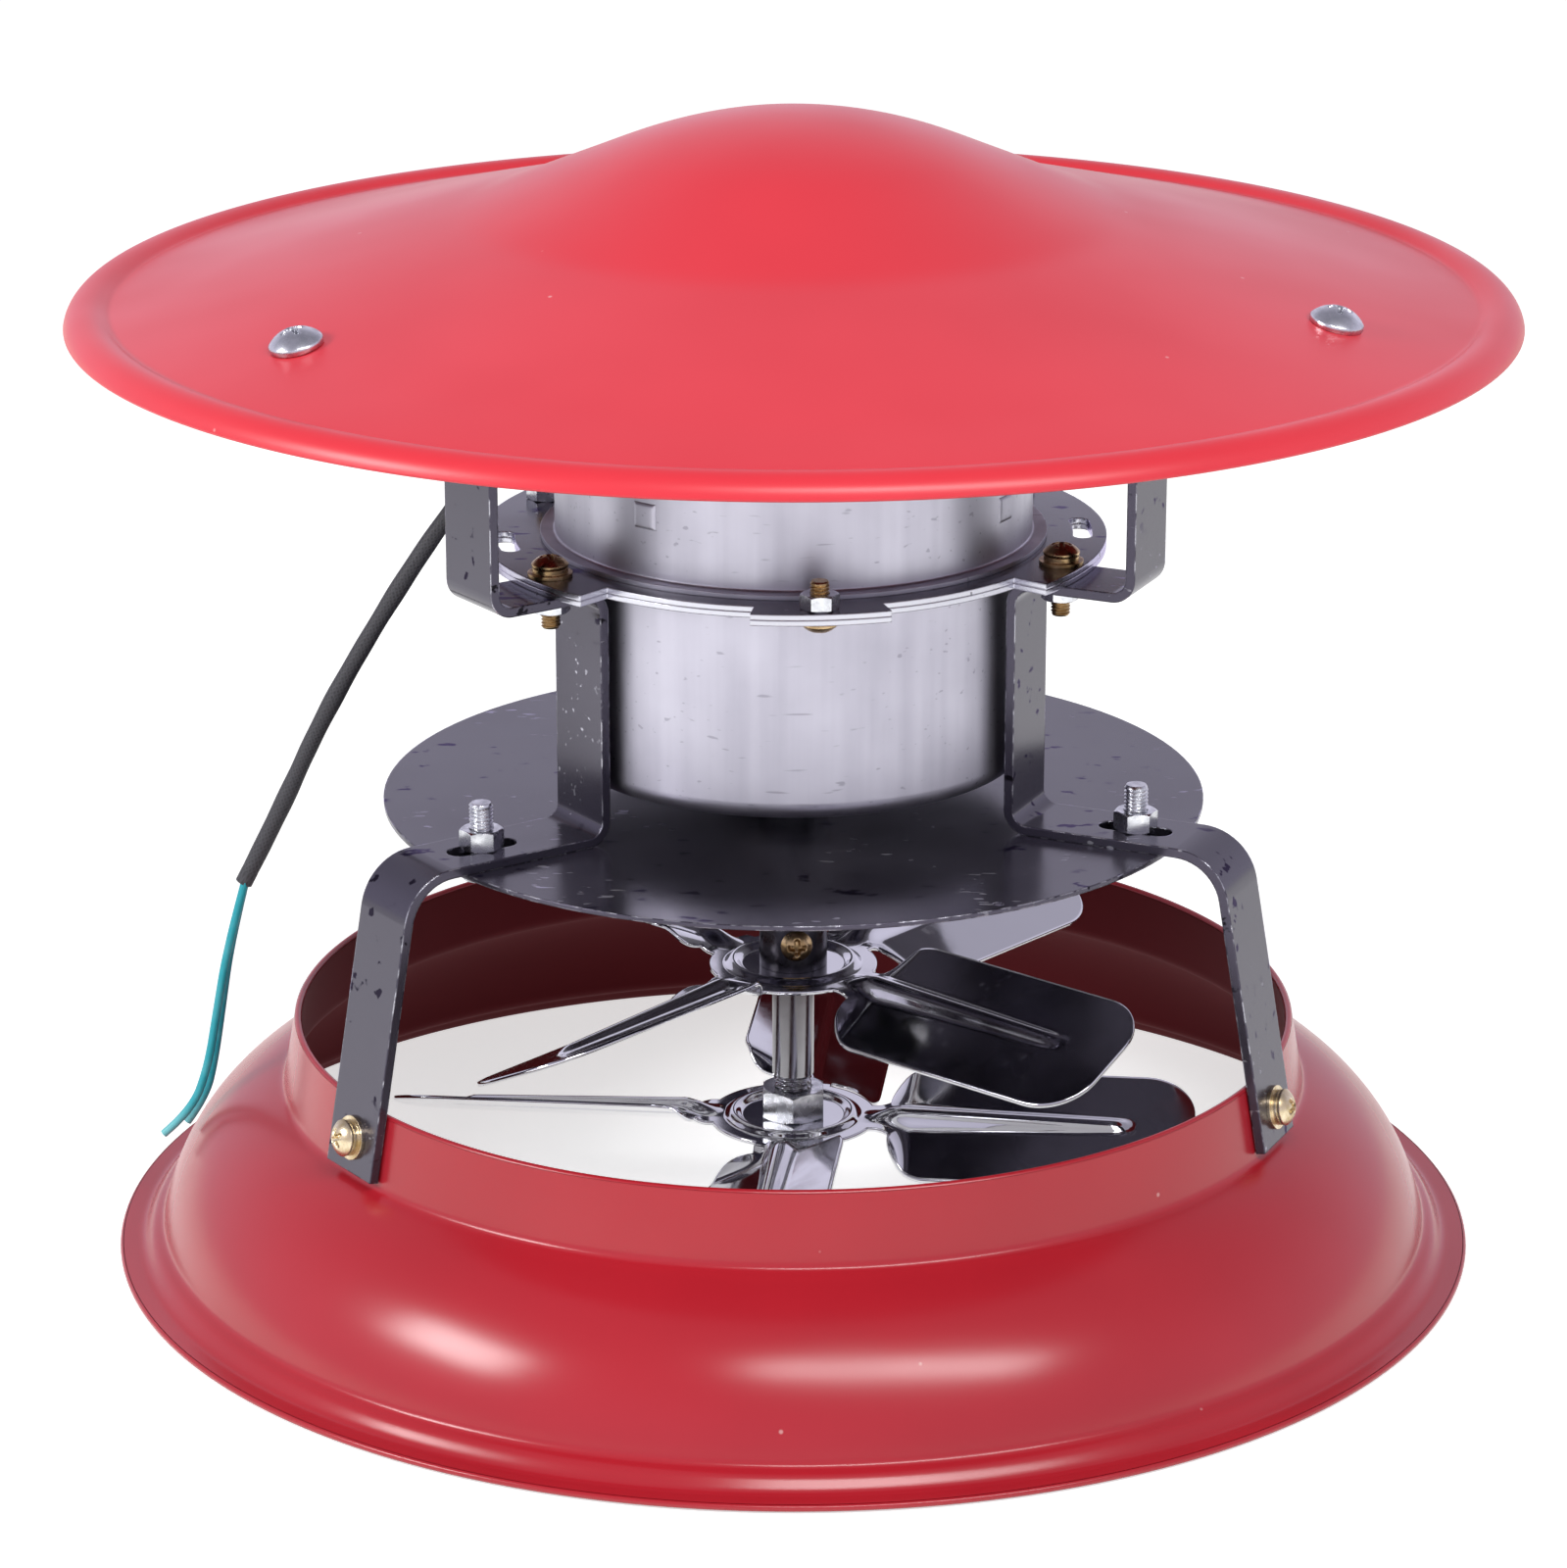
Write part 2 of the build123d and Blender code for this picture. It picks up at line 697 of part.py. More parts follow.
def make_grommet():
    """Moulded rubber bush through the can's wall, its nose turned down towards the sleeve."""
    neck = lead_hole_radius - grommet_slack
    half_wall = can_sheet / 2
    inner_face = -half_wall - grommet_curve_gap
    profile = Polyline(
        (0, inner_face - grommet_flange),
        (grommet_radius, inner_face - grommet_flange),
        (grommet_radius, inner_face),
        (neck, inner_face),
        (neck, half_wall),
        (grommet_radius, half_wall),
        (grommet_radius, half_wall + grommet_flange),
        (0, half_wall + grommet_flange),
        close=True,
    )
    bush = wall_axis * turned(make_face(profile))
    nose = Polyline(
        (0, 0),
        (neck, 0),
        (neck, half_wall + grommet_flange),
        (sleeve_radius + grommet_slack, lead_nose.length),
        (0, lead_nose.length),
        close=True,
    )
    can_space = Pos(0, 0, lead_wall.Z) * Cylinder(can_radius, upper_can_height)
    return bush + (nose_axis * turned(make_face(nose)) - can_space)


def cord(points, radius, name):
    """A round cord along straight runs joined by arcs as large as the runs allow."""
    runs = [Vector(*b) - Vector(*a) for a, b in zip(points, points[1:])]
    bends = []
    for before, after in zip(runs, runs[1:]):
        turn = before.get_angle(after)
        bends.append(bend_share * min(before.length, after.length) / tan(radians(turn) / 2))
    path = FilletPolyline(*points, radius=bends)
    start = Plane(path @ 0, z_dir=path % 0)
    tube = sweep(start * Circle(radius), path=path)
    section = pi * radius**2
    print(f"{name}: length {path.length:.1f}, bend radii {[round(b, 1) for b in bends]}")
    print(f"{name}: volume {tube.volume:.1f} against {section * path.length:.1f}")
    return tube


outer_race, inner_race, balls = make_bearing()
lower_bearing = Pos(0, 0, lower_bearing_z)
upper_bearing = Pos(0, 0, upper_bearing_z)
holder = make_bearing_holder()
lower_holder = lower_bearing * holder
upper_holder = Pos(0, 0, upper_can_top_z - can_sheet) * Rot(180, 0, 0) * holder
strap = make_strap()
fan = make_fan()
m8_nut = hexagon(m8_flats, m8_nut_height, thread_radius + thread_clearance)
m5_nut = hexagon(m5_flats, m5_nut_height, m5_radius + thread_clearance)
flat_washer = washer(flat_washer_radius, flat_washer_sheet)
spring_washer = Pos(0, 0, flat_washer_sheet) * washer(spring_washer_radius, spring_washer_sheet)
washers_height = flat_washer_sheet + spring_washer_sheet

# Each fastener's seat in the strap's plane, and the length that its sheets and nut need.
cap_stack = cap_sheet + cap_seat_gap + strap_sheet
cap_screw_length = cap_stack + m4_nut_height + cap_screw_tail
cap_nut_seat = cap_screw_seat * Pos(0, 0, -cap_stack - m4_nut_height)
ear_screw_seat = Pos(ear_circle, 0, plate_top_z)
ear_screw_length = washers_height + 2 * plate_sheet + strap_sheet + m4_nut_height + ear_screw_tail
ear_nut_seat = Pos(ear_circle, 0, foot_bottom_z - m4_nut_height)
clamp_screw_seat = Pos(clamp_circle, 0, plate_bottom_z) * Rot(180, 0, 0)
clamp_screw_length = 2 * plate_sheet + m4_nut_height + clamp_screw_tail
shield_bolt_seat = Pos(shield_bolt_circle, 0, shield_bottom_z)
shield_bolt_length = shield_sheet + strap_sheet + m5_nut_height + shield_bolt_tail
foot_stack = strap_sheet + collar_gap + base_sheet + foot_nut_gap
foot_screw_length = washers_height + foot_stack + m4_nut_height + foot_screw_tail
foot_nut_seat = foot_screw_seat * Pos(0, 0, -foot_stack - m4_nut_height)

cap_screw = domed_screw(cap_screw_head_radius, cap_screw_head_height, cap_screw_length)
ear_screw = Pos(0, 0, washers_height) * domed_screw(m4_head_radius, m4_head_height, ear_screw_length)
clamp_screw = domed_screw(m4_head_radius, m4_head_height, clamp_screw_length)
foot_screw = Pos(0, 0, washers_height) * domed_screw(m4_head_radius, m4_head_height, foot_screw_length)
bolt_head = Pos(0, 0, -m5_head_height) * hexagon(m5_flats, m5_head_height, 0)
shield_bolt = bolt_head + Cylinder(
    m5_radius, shield_bolt_length, align=(Align.CENTER, Align.CENTER, Align.MIN)
)
ear_washers = [ear_screw_seat * flat_washer, ear_screw_seat * spring_washer]
foot_washers = [foot_screw_seat * flat_washer, foot_screw_seat * spring_washer]
sleeve_last_run = Vector(*sleeve_points[-1]) - Vector(*sleeve_points[-2])
wires_start = Vector(*sleeve_points[-1]) + sleeve_last_run.normalized() * wire_gap
wire_a = [tuple(wires_start - Vector(0, wire_spread, 0))]
wire_a += [(inset - flange_radius, side, height) for inset, side, height in wire_drop_a]
wire_b = [tuple(wires_start + Vector(0, wire_spread, 0))]
wire_b += [(inset - flange_radius, side, height) for inset, side, height in wire_drop_b]

nodes = {
    "base_cowl": make_base_cowl(),
    "rain_cap": make_rain_cap(),
    "strap_right": Rot(0, 0, strap_angles[0]) * strap,
    "strap_rear": Rot(0, 0, strap_angles[1]) * strap,
    "strap_left": Rot(0, 0, strap_angles[2]) * strap,
    "heat_shield": make_heat_shield(),
    "lower_can": make_lower_can(),
    "upper_can": make_upper_can(),
    "mount_plate": ring_plate(can_radius + can_rim_fillet + can_clearance, plate_bottom_z),
    "clamp_plate": ring_plate(lower_rim_radius + can_clearance, plate_bottom_z + plate_sheet),
    "cap_screws": around([cap_screw_seat * cap_screw], strap_angles),
    "cap_nuts": around([cap_nut_seat * m4_nut()], strap_angles),
    "ear_screws": around([ear_screw_seat * ear_screw], strap_angles),
    "ear_washers": around(ear_washers, strap_angles),
    "ear_nuts": around([ear_nut_seat * m4_nut()], strap_angles),
    "clamp_screws": around([clamp_screw_seat * clamp_screw], clamp_angles),
    "clamp_nuts": around([Pos(clamp_circle, 0, plate_top_z) * m4_nut()], clamp_angles),
    "shield_bolts": around([shield_bolt_seat * shield_bolt], strap_angles),
    "shield_nuts": around([Pos(shield_bolt_circle, 0, seat_top_z) * m5_nut], strap_angles),
    "foot_screws": around([foot_screw_seat * foot_screw], strap_angles),
    "foot_washers": around(foot_washers, strap_angles),
    "foot_nuts": around([foot_nut_seat * m4_nut()], strap_angles),
    "bearing_holders": Compound(children=[lower_holder, upper_holder]),
    "bearing_outer_races": Compound(children=[lower_bearing * outer_race, upper_bearing * outer_race]),
    "stator_core": make_stator_core(),
    "stator_windings": make_stator_windings(),
    "lead_grommet": make_grommet(),
    "lead_sleeve": cord(sleeve_points, sleeve_radius, "sleeve"),
    "lead_wire_a": cord(wire_a, wire_radius, "wire a"),
    "lead_wire_b": cord(wire_b, wire_radius, "wire b"),
    "motor_shaft": make_shaft(),
    "rotor_core": ring(shaft_radius, rotor_radius, stator_bottom_z, stator_top_z),
    "rotor_end_rings": make_rotor_cage(),
    "bearing_inner_races": Compound(children=[lower_bearing * inner_race, upper_bearing * inner_race]),
    "bearing_balls": Compound(
        children=[seat * ball for seat in (lower_bearing, upper_bearing) for ball in balls]
    ),
    "upper_fan": Pos(0, 0, upper_fan_z) * Rot(0, 0, upper_fan_turn) * fan,
    "upper_fan_hub": make_fan_hub(),
    "hub_set_screw": make_set_screw(),
    "lower_fan": Pos(0, 0, lower_fan_z) * Rot(0, 0, lower_fan_turn) * fan,
    "lower_fan_nuts": Compound(
        children=[
            Pos(0, 0, lower_fan_z + fan_half_sheet) * m8_nut,
            Pos(0, 0, lower_fan_z - fan_half_sheet - m8_nut_height) * m8_nut,
        ]
    ),
}

os.makedirs("parts", exist_ok=True)
for name, shape in nodes.items():
    export_step(shape, f"parts/{name}.step")
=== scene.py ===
"""Looks of a chimney draught fan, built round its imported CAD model.

Every new piece is a surface worked out in millimetres with numpy and put into a mesh in metres, in the
frame of the CAD model. Nodes whose CAD shape is already right keep it and only get a finish.
"""

import logging
import math
from dataclasses import dataclass
from enum import Enum

import bmesh
import bpy
import numpy as np
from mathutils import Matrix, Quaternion, Vector


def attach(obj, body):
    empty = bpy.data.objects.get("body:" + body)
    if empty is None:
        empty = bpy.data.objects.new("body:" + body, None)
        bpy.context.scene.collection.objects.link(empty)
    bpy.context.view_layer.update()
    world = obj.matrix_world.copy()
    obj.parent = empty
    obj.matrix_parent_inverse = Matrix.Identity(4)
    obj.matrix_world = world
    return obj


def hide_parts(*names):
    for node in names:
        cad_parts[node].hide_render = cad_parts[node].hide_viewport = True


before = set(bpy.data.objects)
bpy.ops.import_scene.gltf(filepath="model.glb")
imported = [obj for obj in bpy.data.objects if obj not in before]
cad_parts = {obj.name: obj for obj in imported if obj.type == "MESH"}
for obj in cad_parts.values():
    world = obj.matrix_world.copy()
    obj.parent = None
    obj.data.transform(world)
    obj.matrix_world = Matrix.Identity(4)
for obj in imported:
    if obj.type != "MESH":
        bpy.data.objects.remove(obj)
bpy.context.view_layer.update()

LOG = logging.getLogger("draught_fan")
MM = 0.001
MERGE_MM = 0.002
INSIDE = "inside"

# Inputs of a node that maps ranges, and inputs and output of one that mixes colours, by their index.
VALUE, FROM, UPTO, LOW, HIGH = range(5)
SHARE, FIRST, SECOND, MIXED = 0, 6, 7, 2

# Points round a sheet's rounded edge, the spinning roller's half width in points, and a thread's depth and
# run-out in pitches and the gap between its first ring and its seat.
ROUND_POINTS = 7
ROLLER = 2
THREAD_DEPTH = 0.55
THREAD_RUN_OUT = 0.8
THREAD_START_MM = 0.02


class Body(Enum):
    """The two CAD bodies that pieces ride on."""

    HOUSING = "housing"
    ROTOR = "rotor"


class Slot(Enum):
    """Names of the material slots for new pieces."""

    CAP = "cap_enamel"
    BASE = "base_enamel"
    ZINC = "zinc_sheet"
    BRIGHT_ZINC = "bright_zinc"
    YELLOW_ZINC = "yellow_zinc"
    SLEEVE = "sleeve_fabric"
    WIRE = "teal_insulation"
    SHAFT = "shaft_steel"
    FAN = "polished_steel"


def linear(colour: str) -> tuple[float, float, float, float]:
    """Turns an sRGB hex colour into the linear colour that the shaders take.

    Args:
        colour: The colour as "#RRGGBB".

    Returns:
        Red, green and blue in linear light, and full alpha.
    """
    srgb = np.array([int(colour[i : i + 2], 16) for i in (1, 3, 5)]) / 255
    light = np.where(srgb <= 0.04045, srgb / 12.92, ((srgb + 0.055) / 1.055) ** 2.4)
    return (*map(float, light), 1.0)


def add(
    tree: bpy.types.NodeTree, kind: str, inputs: dict | None = None, output: int | str = 0, **settings
) -> bpy.types.NodeSocket | None:
    """Adds a node with its settings and links.

    Args:
        tree: The node tree that gets the node.
        kind: The node's type, without the leading "ShaderNode".
        inputs: For each input, by name or index, a value or the output socket that feeds it.
        output: The wanted output, by name or index.
        **settings: The node's own options.

    Returns:
        The wanted output, or None from a node without outputs.
    """
    made = tree.nodes.new("ShaderNode" + kind)
    for option, value in settings.items():
        setattr(made, option, value)
    for key, value in (inputs or {}).items():
        if isinstance(value, bpy.types.NodeSocket):
            tree.links.new(value, made.inputs[key])
        else:
            made.inputs[key].default_value = value
    return made.outputs[output] if made.outputs else None


def feed(tree: bpy.types.NodeTree, shader: bpy.types.Node, sockets: dict[str, bpy.types.NodeSocket]) -> None:
    """Links outputs to a shader's inputs.

    Args:
        tree: The shader's node tree.
        shader: The shader.
        sockets: The output that feeds each input, by the input's name.
    """
    for name, value in sockets.items():
        tree.links.new(value, shader.inputs[name])


def per_metre(size_mm: float) -> float:
    """The texture scale that gives a pattern of this size in millimetres."""
    return 1.0 / (size_mm * MM)


def band_scale(size: float) -> float:
    """The wave texture's scale that gives bands of this size; at a scale of 1 they are pi / 10 wide."""
    return math.pi / (10.0 * size)


@dataclass(frozen=True)
class Finish:
    """A plain surface finish that the others build on; gloss_span is how far its roughness wanders."""

    name: str
    colour: str
    roughness: float
    metallic: float = 0.0
    gloss_span: tuple[float, float] = (0.0, 0.0)

    def material(self) -> bpy.types.Material:
        """The finish's material, made the first time that it is asked for."""
        return bpy.data.materials.get(self.name) or self.make()

    def start(self) -> tuple[bpy.types.Material, bpy.types.NodeTree, bpy.types.Node, bpy.types.NodeSocket]:
        """Starts the material with its shader.

        Returns:
            The material, its node tree, its shader and the Object coordinates.
        """
        material = bpy.data.materials.new(self.name)
        material.use_nodes = True
        tree = material.node_tree
        tree.nodes.clear()
        values = {"Base Color": linear(self.colour), "Roughness": self.roughness, "Metallic": self.metallic}
        surface = add(tree, "BsdfPrincipled", values)
        add(tree, "OutputMaterial", {"Surface": surface})
        return material, tree, surface.node, add(tree, "TexCoord", output="Object")

    def gloss(self) -> dict[int, float]:
        """The least and the greatest roughness, as outputs of a mapped range."""
        low, high = self.gloss_span
        return {LOW: self.roughness + low, HIGH: self.roughness + high}

    def make(self) -> bpy.types.Material:
        """Makes the plain material."""
        return self.start()[0]


@dataclass(frozen=True)
class SprayedEnamel(Finish):
    """Stoved enamel on steel: an even gloss outside, and on the inner face a dark, dull, partly metallic
    colour that is painted shade.
    """

    shade: str = "#000000"
    # Painted shade: the dark colour that the inner face takes.
    inner: str = "#000000"
    inner_roughness: float = 0.8
    inside_shade_metal: float = 0.75
    peel_mm: float = 2.2
    drift_mm: float = 55.0
    dust_mm: float = 17.0
    nib_colour: str = "#F4D9D6"
    gloss_span: tuple[float, float] = (-0.03, 0.04)

    def make(self) -> bpy.types.Material:
        """Makes the enamel with drifting depth of colour, a few dust nibs and a faint orange peel."""
        material, tree, shader, coords = self.start()
        inner = add(tree, "Attribute", attribute_name=INSIDE, output="Fac")
        drift = add(tree, "TexNoise", {"Vector": coords, "Scale": per_metre(self.drift_mm), "Detail": 2.0})
        peel = add(tree, "TexNoise", {"Vector": coords, "Scale": per_metre(self.peel_mm), "Detail": 1.5})
        dust = add(tree, "TexVoronoi", {"Vector": coords, "Scale": per_metre(self.dust_mm)})
        nib = add(tree, "MapRange", {VALUE: dust, FROM: 0.032, UPTO: 0.016, HIGH: 0.35})
        wander = {VALUE: drift, FROM: 0.25, UPTO: 0.75}
        depth = add(tree, "MapRange", wander, interpolation_type="SMOOTHSTEP")
        colours = {SHARE: depth, FIRST: linear(self.colour), SECOND: linear(self.shade)}
        tone = add(tree, "Mix", colours, data_type="RGBA", output=MIXED)
        nibs = {SHARE: nib, FIRST: tone, SECOND: linear(self.nib_colour)}
        speckled = add(tree, "Mix", nibs, data_type="RGBA", output=MIXED)
        # Painted shade: the inner face gets a dark colour, dull and partly metallic, so that it stays as dark
        # as a shaded inside.
        sides = {SHARE: inner, FIRST: speckled, SECOND: linear(self.inner)}
        sided = add(tree, "Mix", sides, data_type="RGBA", output=MIXED)
        gloss = add(tree, "MapRange", {VALUE: depth, FROM: 0.0, UPTO: 1.0, **self.gloss()})
        rough = add(tree, "Mix", {"Factor": inner, "A": gloss, "B": self.inner_roughness})
        metal = add(tree, "Math", {0: inner, 1: self.inside_shade_metal}, operation="MULTIPLY")
        bump = add(tree, "Bump", {"Strength": 0.08, "Distance": 0.04 * MM, "Height": peel})
        feed(tree, shader, {"Base Color": sided, "Metallic": metal, "Roughness": rough, "Normal": bump})
        return material


@dataclass(frozen=True)
class WornPaint(Finish):
    """Semi-gloss black paint on steel: a lavender sheen, dark pits, and bright metal on edges and cuts.

    cut_faces is how bare the upright cuts are, from 0 to 1.
    """

    bare: str = "#C9C9D2"
    rubbed: str = "#34323A"
    pit: str = "#0C0A0D"
    tint: str = "#DFD6F6"
    specular: float = 0.9
    edge_mm: float = 0.5
    chip_mm: float = 3.2
    speck_mm: float = 1.6
    pit_mm: float = 3.4
    patch_mm: float = 34.0
    cut_faces: float = 0.0
    gloss_span: tuple[float, float] = (-0.03, 0.07)

    def make(self) -> bpy.types.Material:
        """Makes the paint with worn edges and bare cuts, and with specks and pits in patches."""
        material, tree, shader, coords = self.start()
        rounded = add(tree, "Bevel", {"Radius": self.edge_mm * MM}, samples=6)
        surface = add(tree, "NewGeometry", output="Normal")
        facing = add(tree, "VectorMath", {0: rounded, 1: surface}, operation="DOT_PRODUCT", output="Value")
        edge = add(tree, "MapRange", {VALUE: facing, FROM: 0.985, UPTO: 0.90})
        chip = add(tree, "TexNoise", {"Vector": coords, "Scale": per_metre(self.chip_mm), "Detail": 3.0})
        chipped = add(tree, "MapRange", {VALUE: chip, FROM: 0.47, UPTO: 0.60, HIGH: 0.85})
        worn = add(tree, "Math", {0: edge, 1: chipped}, operation="MULTIPLY")
        upright = add(tree, "SeparateXYZ", {0: surface}, output="Z")
        level = add(tree, "Math", {0: upright}, operation="ABSOLUTE")
        cut = add(tree, "MapRange", {VALUE: level, FROM: 0.5, UPTO: 0.2, HIGH: self.cut_faces})
        kept = add(tree, "MapRange", {VALUE: chip, FROM: 0.22, UPTO: 0.32})
        sheared = add(tree, "Math", {0: cut, 1: kept}, operation="MULTIPLY")
        drawn = {"Vector": coords, "Rotation": (0.5, 0.3, 0.7), "Scale": (0.35, 1.0, 1.0)}
        scraped = add(tree, "Mapping", drawn)
        speck = add(tree, "TexNoise", {"Vector": scraped, "Scale": per_metre(self.speck_mm), "Detail": 1.5})
        spot = add(tree, "MapRange", {VALUE: speck, FROM: 0.67, UPTO: 0.72, HIGH: 0.75})
        patch = add(tree, "TexNoise", {"Vector": coords, "Scale": per_metre(self.patch_mm), "Detail": 2.0})
        place = add(tree, "MapRange", {VALUE: patch, FROM: 0.50, UPTO: 0.62})
        spots = add(tree, "Math", {0: spot, 1: place}, operation="MULTIPLY")
        bright = add(tree, "Math", {0: worn, 1: sheared}, operation="MAXIMUM")
        steel = add(tree, "Math", {0: bright, 1: spots}, operation="MAXIMUM")
        wander = {VALUE: patch, FROM: 0.35, UPTO: 0.75, HIGH: 0.7}
        scuff = add(tree, "MapRange", wander, interpolation_type="SMOOTHSTEP")
        paint = {SHARE: scuff, FIRST: linear(self.colour), SECOND: linear(self.rubbed)}
        tone = add(tree, "Mix", paint, data_type="RGBA", output=MIXED)
        sunk = {"Vector": coords, "Rotation": (0.2, 0.1, 0.4), "Scale": (0.5, 1.0, 1.0)}
        pitted = add(tree, "Mapping", sunk)
        hollow = add(tree, "TexNoise", {"Vector": pitted, "Scale": per_metre(self.pit_mm), "Detail": 3.0})
        deep = add(tree, "MapRange", {VALUE: hollow, FROM: 0.645, UPTO: 0.675, HIGH: 0.9})
        near = add(tree, "MapRange", {VALUE: patch, FROM: 0.56, UPTO: 0.46})
        pits = add(tree, "Math", {0: deep, 1: near}, operation="MULTIPLY")
        holes = {SHARE: pits, FIRST: tone, SECOND: linear(self.pit)}
        dark = add(tree, "Mix", holes, data_type="RGBA", output=MIXED)
        bared = {SHARE: steel, FIRST: dark, SECOND: linear(self.bare)}
        colour = add(tree, "Mix", bared, data_type="RGBA", output=MIXED)
        metal = add(tree, "Math", {0: steel, 1: pits}, operation="MAXIMUM")
        gloss = add(tree, "MapRange", {VALUE: patch, FROM: 0.3, UPTO: 0.7, **self.gloss()})
        feed(tree, shader, {"Base Color": colour, "Metallic": metal, "Roughness": gloss, "Normal": rounded})
        shader.inputs["Specular IOR Level"].default_value = self.specular
        shader.inputs["Specular Tint"].default_value = linear(self.tint)
        return material


@dataclass(frozen=True)
class GalvanisedSheet(Finish):
    """Drawn galvanised steel: pale zinc grey with soft streaks along the draw, dull rubs and scratches."""

    shade: str = "#8E8F98"
    streak_mm: float = 5.0
    rub_mm: float = 22.0
    hair_mm: float = 1.1
    scratch: str = "#8B8994"
    draw_stretch: float = 0.04
    edge_mm: float = 0.3
    gloss_span: tuple[float, float] = (-0.04, 0.07)

    def make(self) -> bpy.types.Material:
        """Makes the zinc with upright streaks in its tone and gloss, and slanting scratches."""
        material, tree, shader, coords = self.start()
        drawn = add(tree, "Mapping", {"Vector": coords, "Scale": (1.0, 1.0, self.draw_stretch)})
        streak = add(tree, "TexNoise", {"Vector": drawn, "Scale": per_metre(self.streak_mm), "Detail": 4.0})
        rub = add(tree, "TexNoise", {"Vector": coords, "Scale": per_metre(self.rub_mm), "Detail": 4.0})
        both = add(tree, "Math", {0: streak, 1: rub}, operation="ADD")
        share = add(tree, "MapRange", {VALUE: both, FROM: 0.75, UPTO: 1.3, HIGH: 0.8})
        colours = {SHARE: share, FIRST: linear(self.colour), SECOND: linear(self.shade)}
        clean = add(tree, "Mix", colours, data_type="RGBA", output=MIXED)
        slant = {"Vector": coords, "Rotation": (0.6, 0.9, 0.3), "Scale": (0.08, 1.0, 1.0)}
        across = add(tree, "Mapping", slant)
        hair = add(tree, "TexNoise", {"Vector": across, "Scale": per_metre(self.hair_mm), "Detail": 1.0})
        line = add(tree, "MapRange", {VALUE: hair, FROM: 0.70, UPTO: 0.76, HIGH: 0.6})
        marked = {SHARE: line, FIRST: clean, SECOND: linear(self.scratch)}
        tone = add(tree, "Mix", marked, data_type="RGBA", output=MIXED)
        rough = add(tree, "MapRange", {VALUE: both, FROM: 0.7, UPTO: 1.3, **self.gloss()})
        rounded = add(tree, "Bevel", {"Radius": self.edge_mm * MM}, samples=4)
        drawing = {"Strength": 0.02, "Distance": 0.1 * MM, "Height": streak, "Normal": rounded}
        bump = add(tree, "Bump", drawing)
        feed(tree, shader, {"Base Color": tone, "Roughness": rough, "Normal": bump})
        return material


@dataclass(frozen=True)
class PlatedMetal(Finish):
    """A plated or cast skin on small pieces: a clean metal whose tint wanders over each piece."""

    shade: str = "#808080"
    tint_mm: float = 2.4
    grain_mm: float = 0.35
    edge_mm: float = 0.25
    gloss_span: tuple[float, float] = (-0.05, 0.1)

    def make(self) -> bpy.types.Material:
        """Makes the plating with a wandering tint, softened edges and a fine grain."""
        material, tree, shader, coords = self.start()
        tint = add(tree, "TexNoise", {"Vector": coords, "Scale": per_metre(self.tint_mm), "Detail": 3.0})
        grain = add(tree, "TexNoise", {"Vector": coords, "Scale": per_metre(self.grain_mm), "Detail": 2.0})
        share = add(tree, "MapRange", {VALUE: tint, FROM: 0.35, UPTO: 0.68})
        colours = {SHARE: share, FIRST: linear(self.colour), SECOND: linear(self.shade)}
        tone = add(tree, "Mix", colours, data_type="RGBA", output=MIXED)
        rough = add(tree, "MapRange", {VALUE: tint, FROM: 0.3, UPTO: 0.7, **self.gloss()})
        rounded = add(tree, "Bevel", {"Radius": self.edge_mm * MM}, samples=4)
        skin = {"Strength": 0.08, "Distance": 0.05 * MM, "Height": grain, "Normal": rounded}
        bump = add(tree, "Bump", skin)
        feed(tree, shader, {"Base Color": tone, "Roughness": rough, "Normal": bump})
        return material


@dataclass(frozen=True)
class MirrorSteel(Finish):
    """Bright rolled sheet or ground steel: a mirror with gentle ripples and faint smears."""

    ripple_mm: float = 16.0
    smear_mm: float = 9.0
    ripple: float = 0.06
    gloss_span: tuple[float, float] = (0.0, 0.12)

    def make(self) -> bpy.types.Material:
        """Makes the mirror with ripples and smears."""
        material, tree, shader, coords = self.start()
        ripple = add(tree, "TexNoise", {"Vector": coords, "Scale": per_metre(self.ripple_mm), "Detail": 1.0})
        smear = add(tree, "TexNoise", {"Vector": coords, "Scale": per_metre(self.smear_mm), "Detail": 5.0})
        rough = add(tree, "MapRange", {VALUE: smear, FROM: 0.4, UPTO: 0.75, **self.gloss()})
        bump = add(tree, "Bump", {"Strength": self.ripple, "Distance": 1.0 * MM, "Height": ripple})
        feed(tree, shader, {"Roughness": rough, "Normal": bump})
        return material


@dataclass(frozen=True)
class BraidedSleeve(Finish):
    """Varnished glass-fibre sleeving: a dull charcoal tube with a fine crossed braid."""

    thread: str = "#3D3C42"
    braid_mm: float = 0.8
    braid_turn: float = 0.7

    def make(self) -> bpy.types.Material:
        """Makes the braid from two crossed sets of bands on the tube's own map, which is in millimetres.

        The braid is drawn about twice as coarse as the real one, so that it shows.
        """
        material, tree, shader, _ = self.start()
        tube = add(tree, "TexCoord", output="UV")
        bands = []
        for turn in (self.braid_turn, -self.braid_turn):
            laid = add(tree, "Mapping", {"Vector": tube, "Rotation": (0.0, 0.0, turn)})
            scale = {"Vector": laid, "Scale": band_scale(self.braid_mm)}
            bands.append(add(tree, "TexWave", scale, output="Fac"))
        weave = add(tree, "Math", {0: bands[0], 1: bands[1]}, operation="MAXIMUM")
        colours = {SHARE: weave, FIRST: linear(self.colour), SECOND: linear(self.thread)}
        tone = add(tree, "Mix", colours, data_type="RGBA", output=MIXED)
        bump = add(tree, "Bump", {"Strength": 0.35, "Distance": 0.15 * MM, "Height": weave})
        feed(tree, shader, {"Base Color": tone, "Normal": bump})
        return material


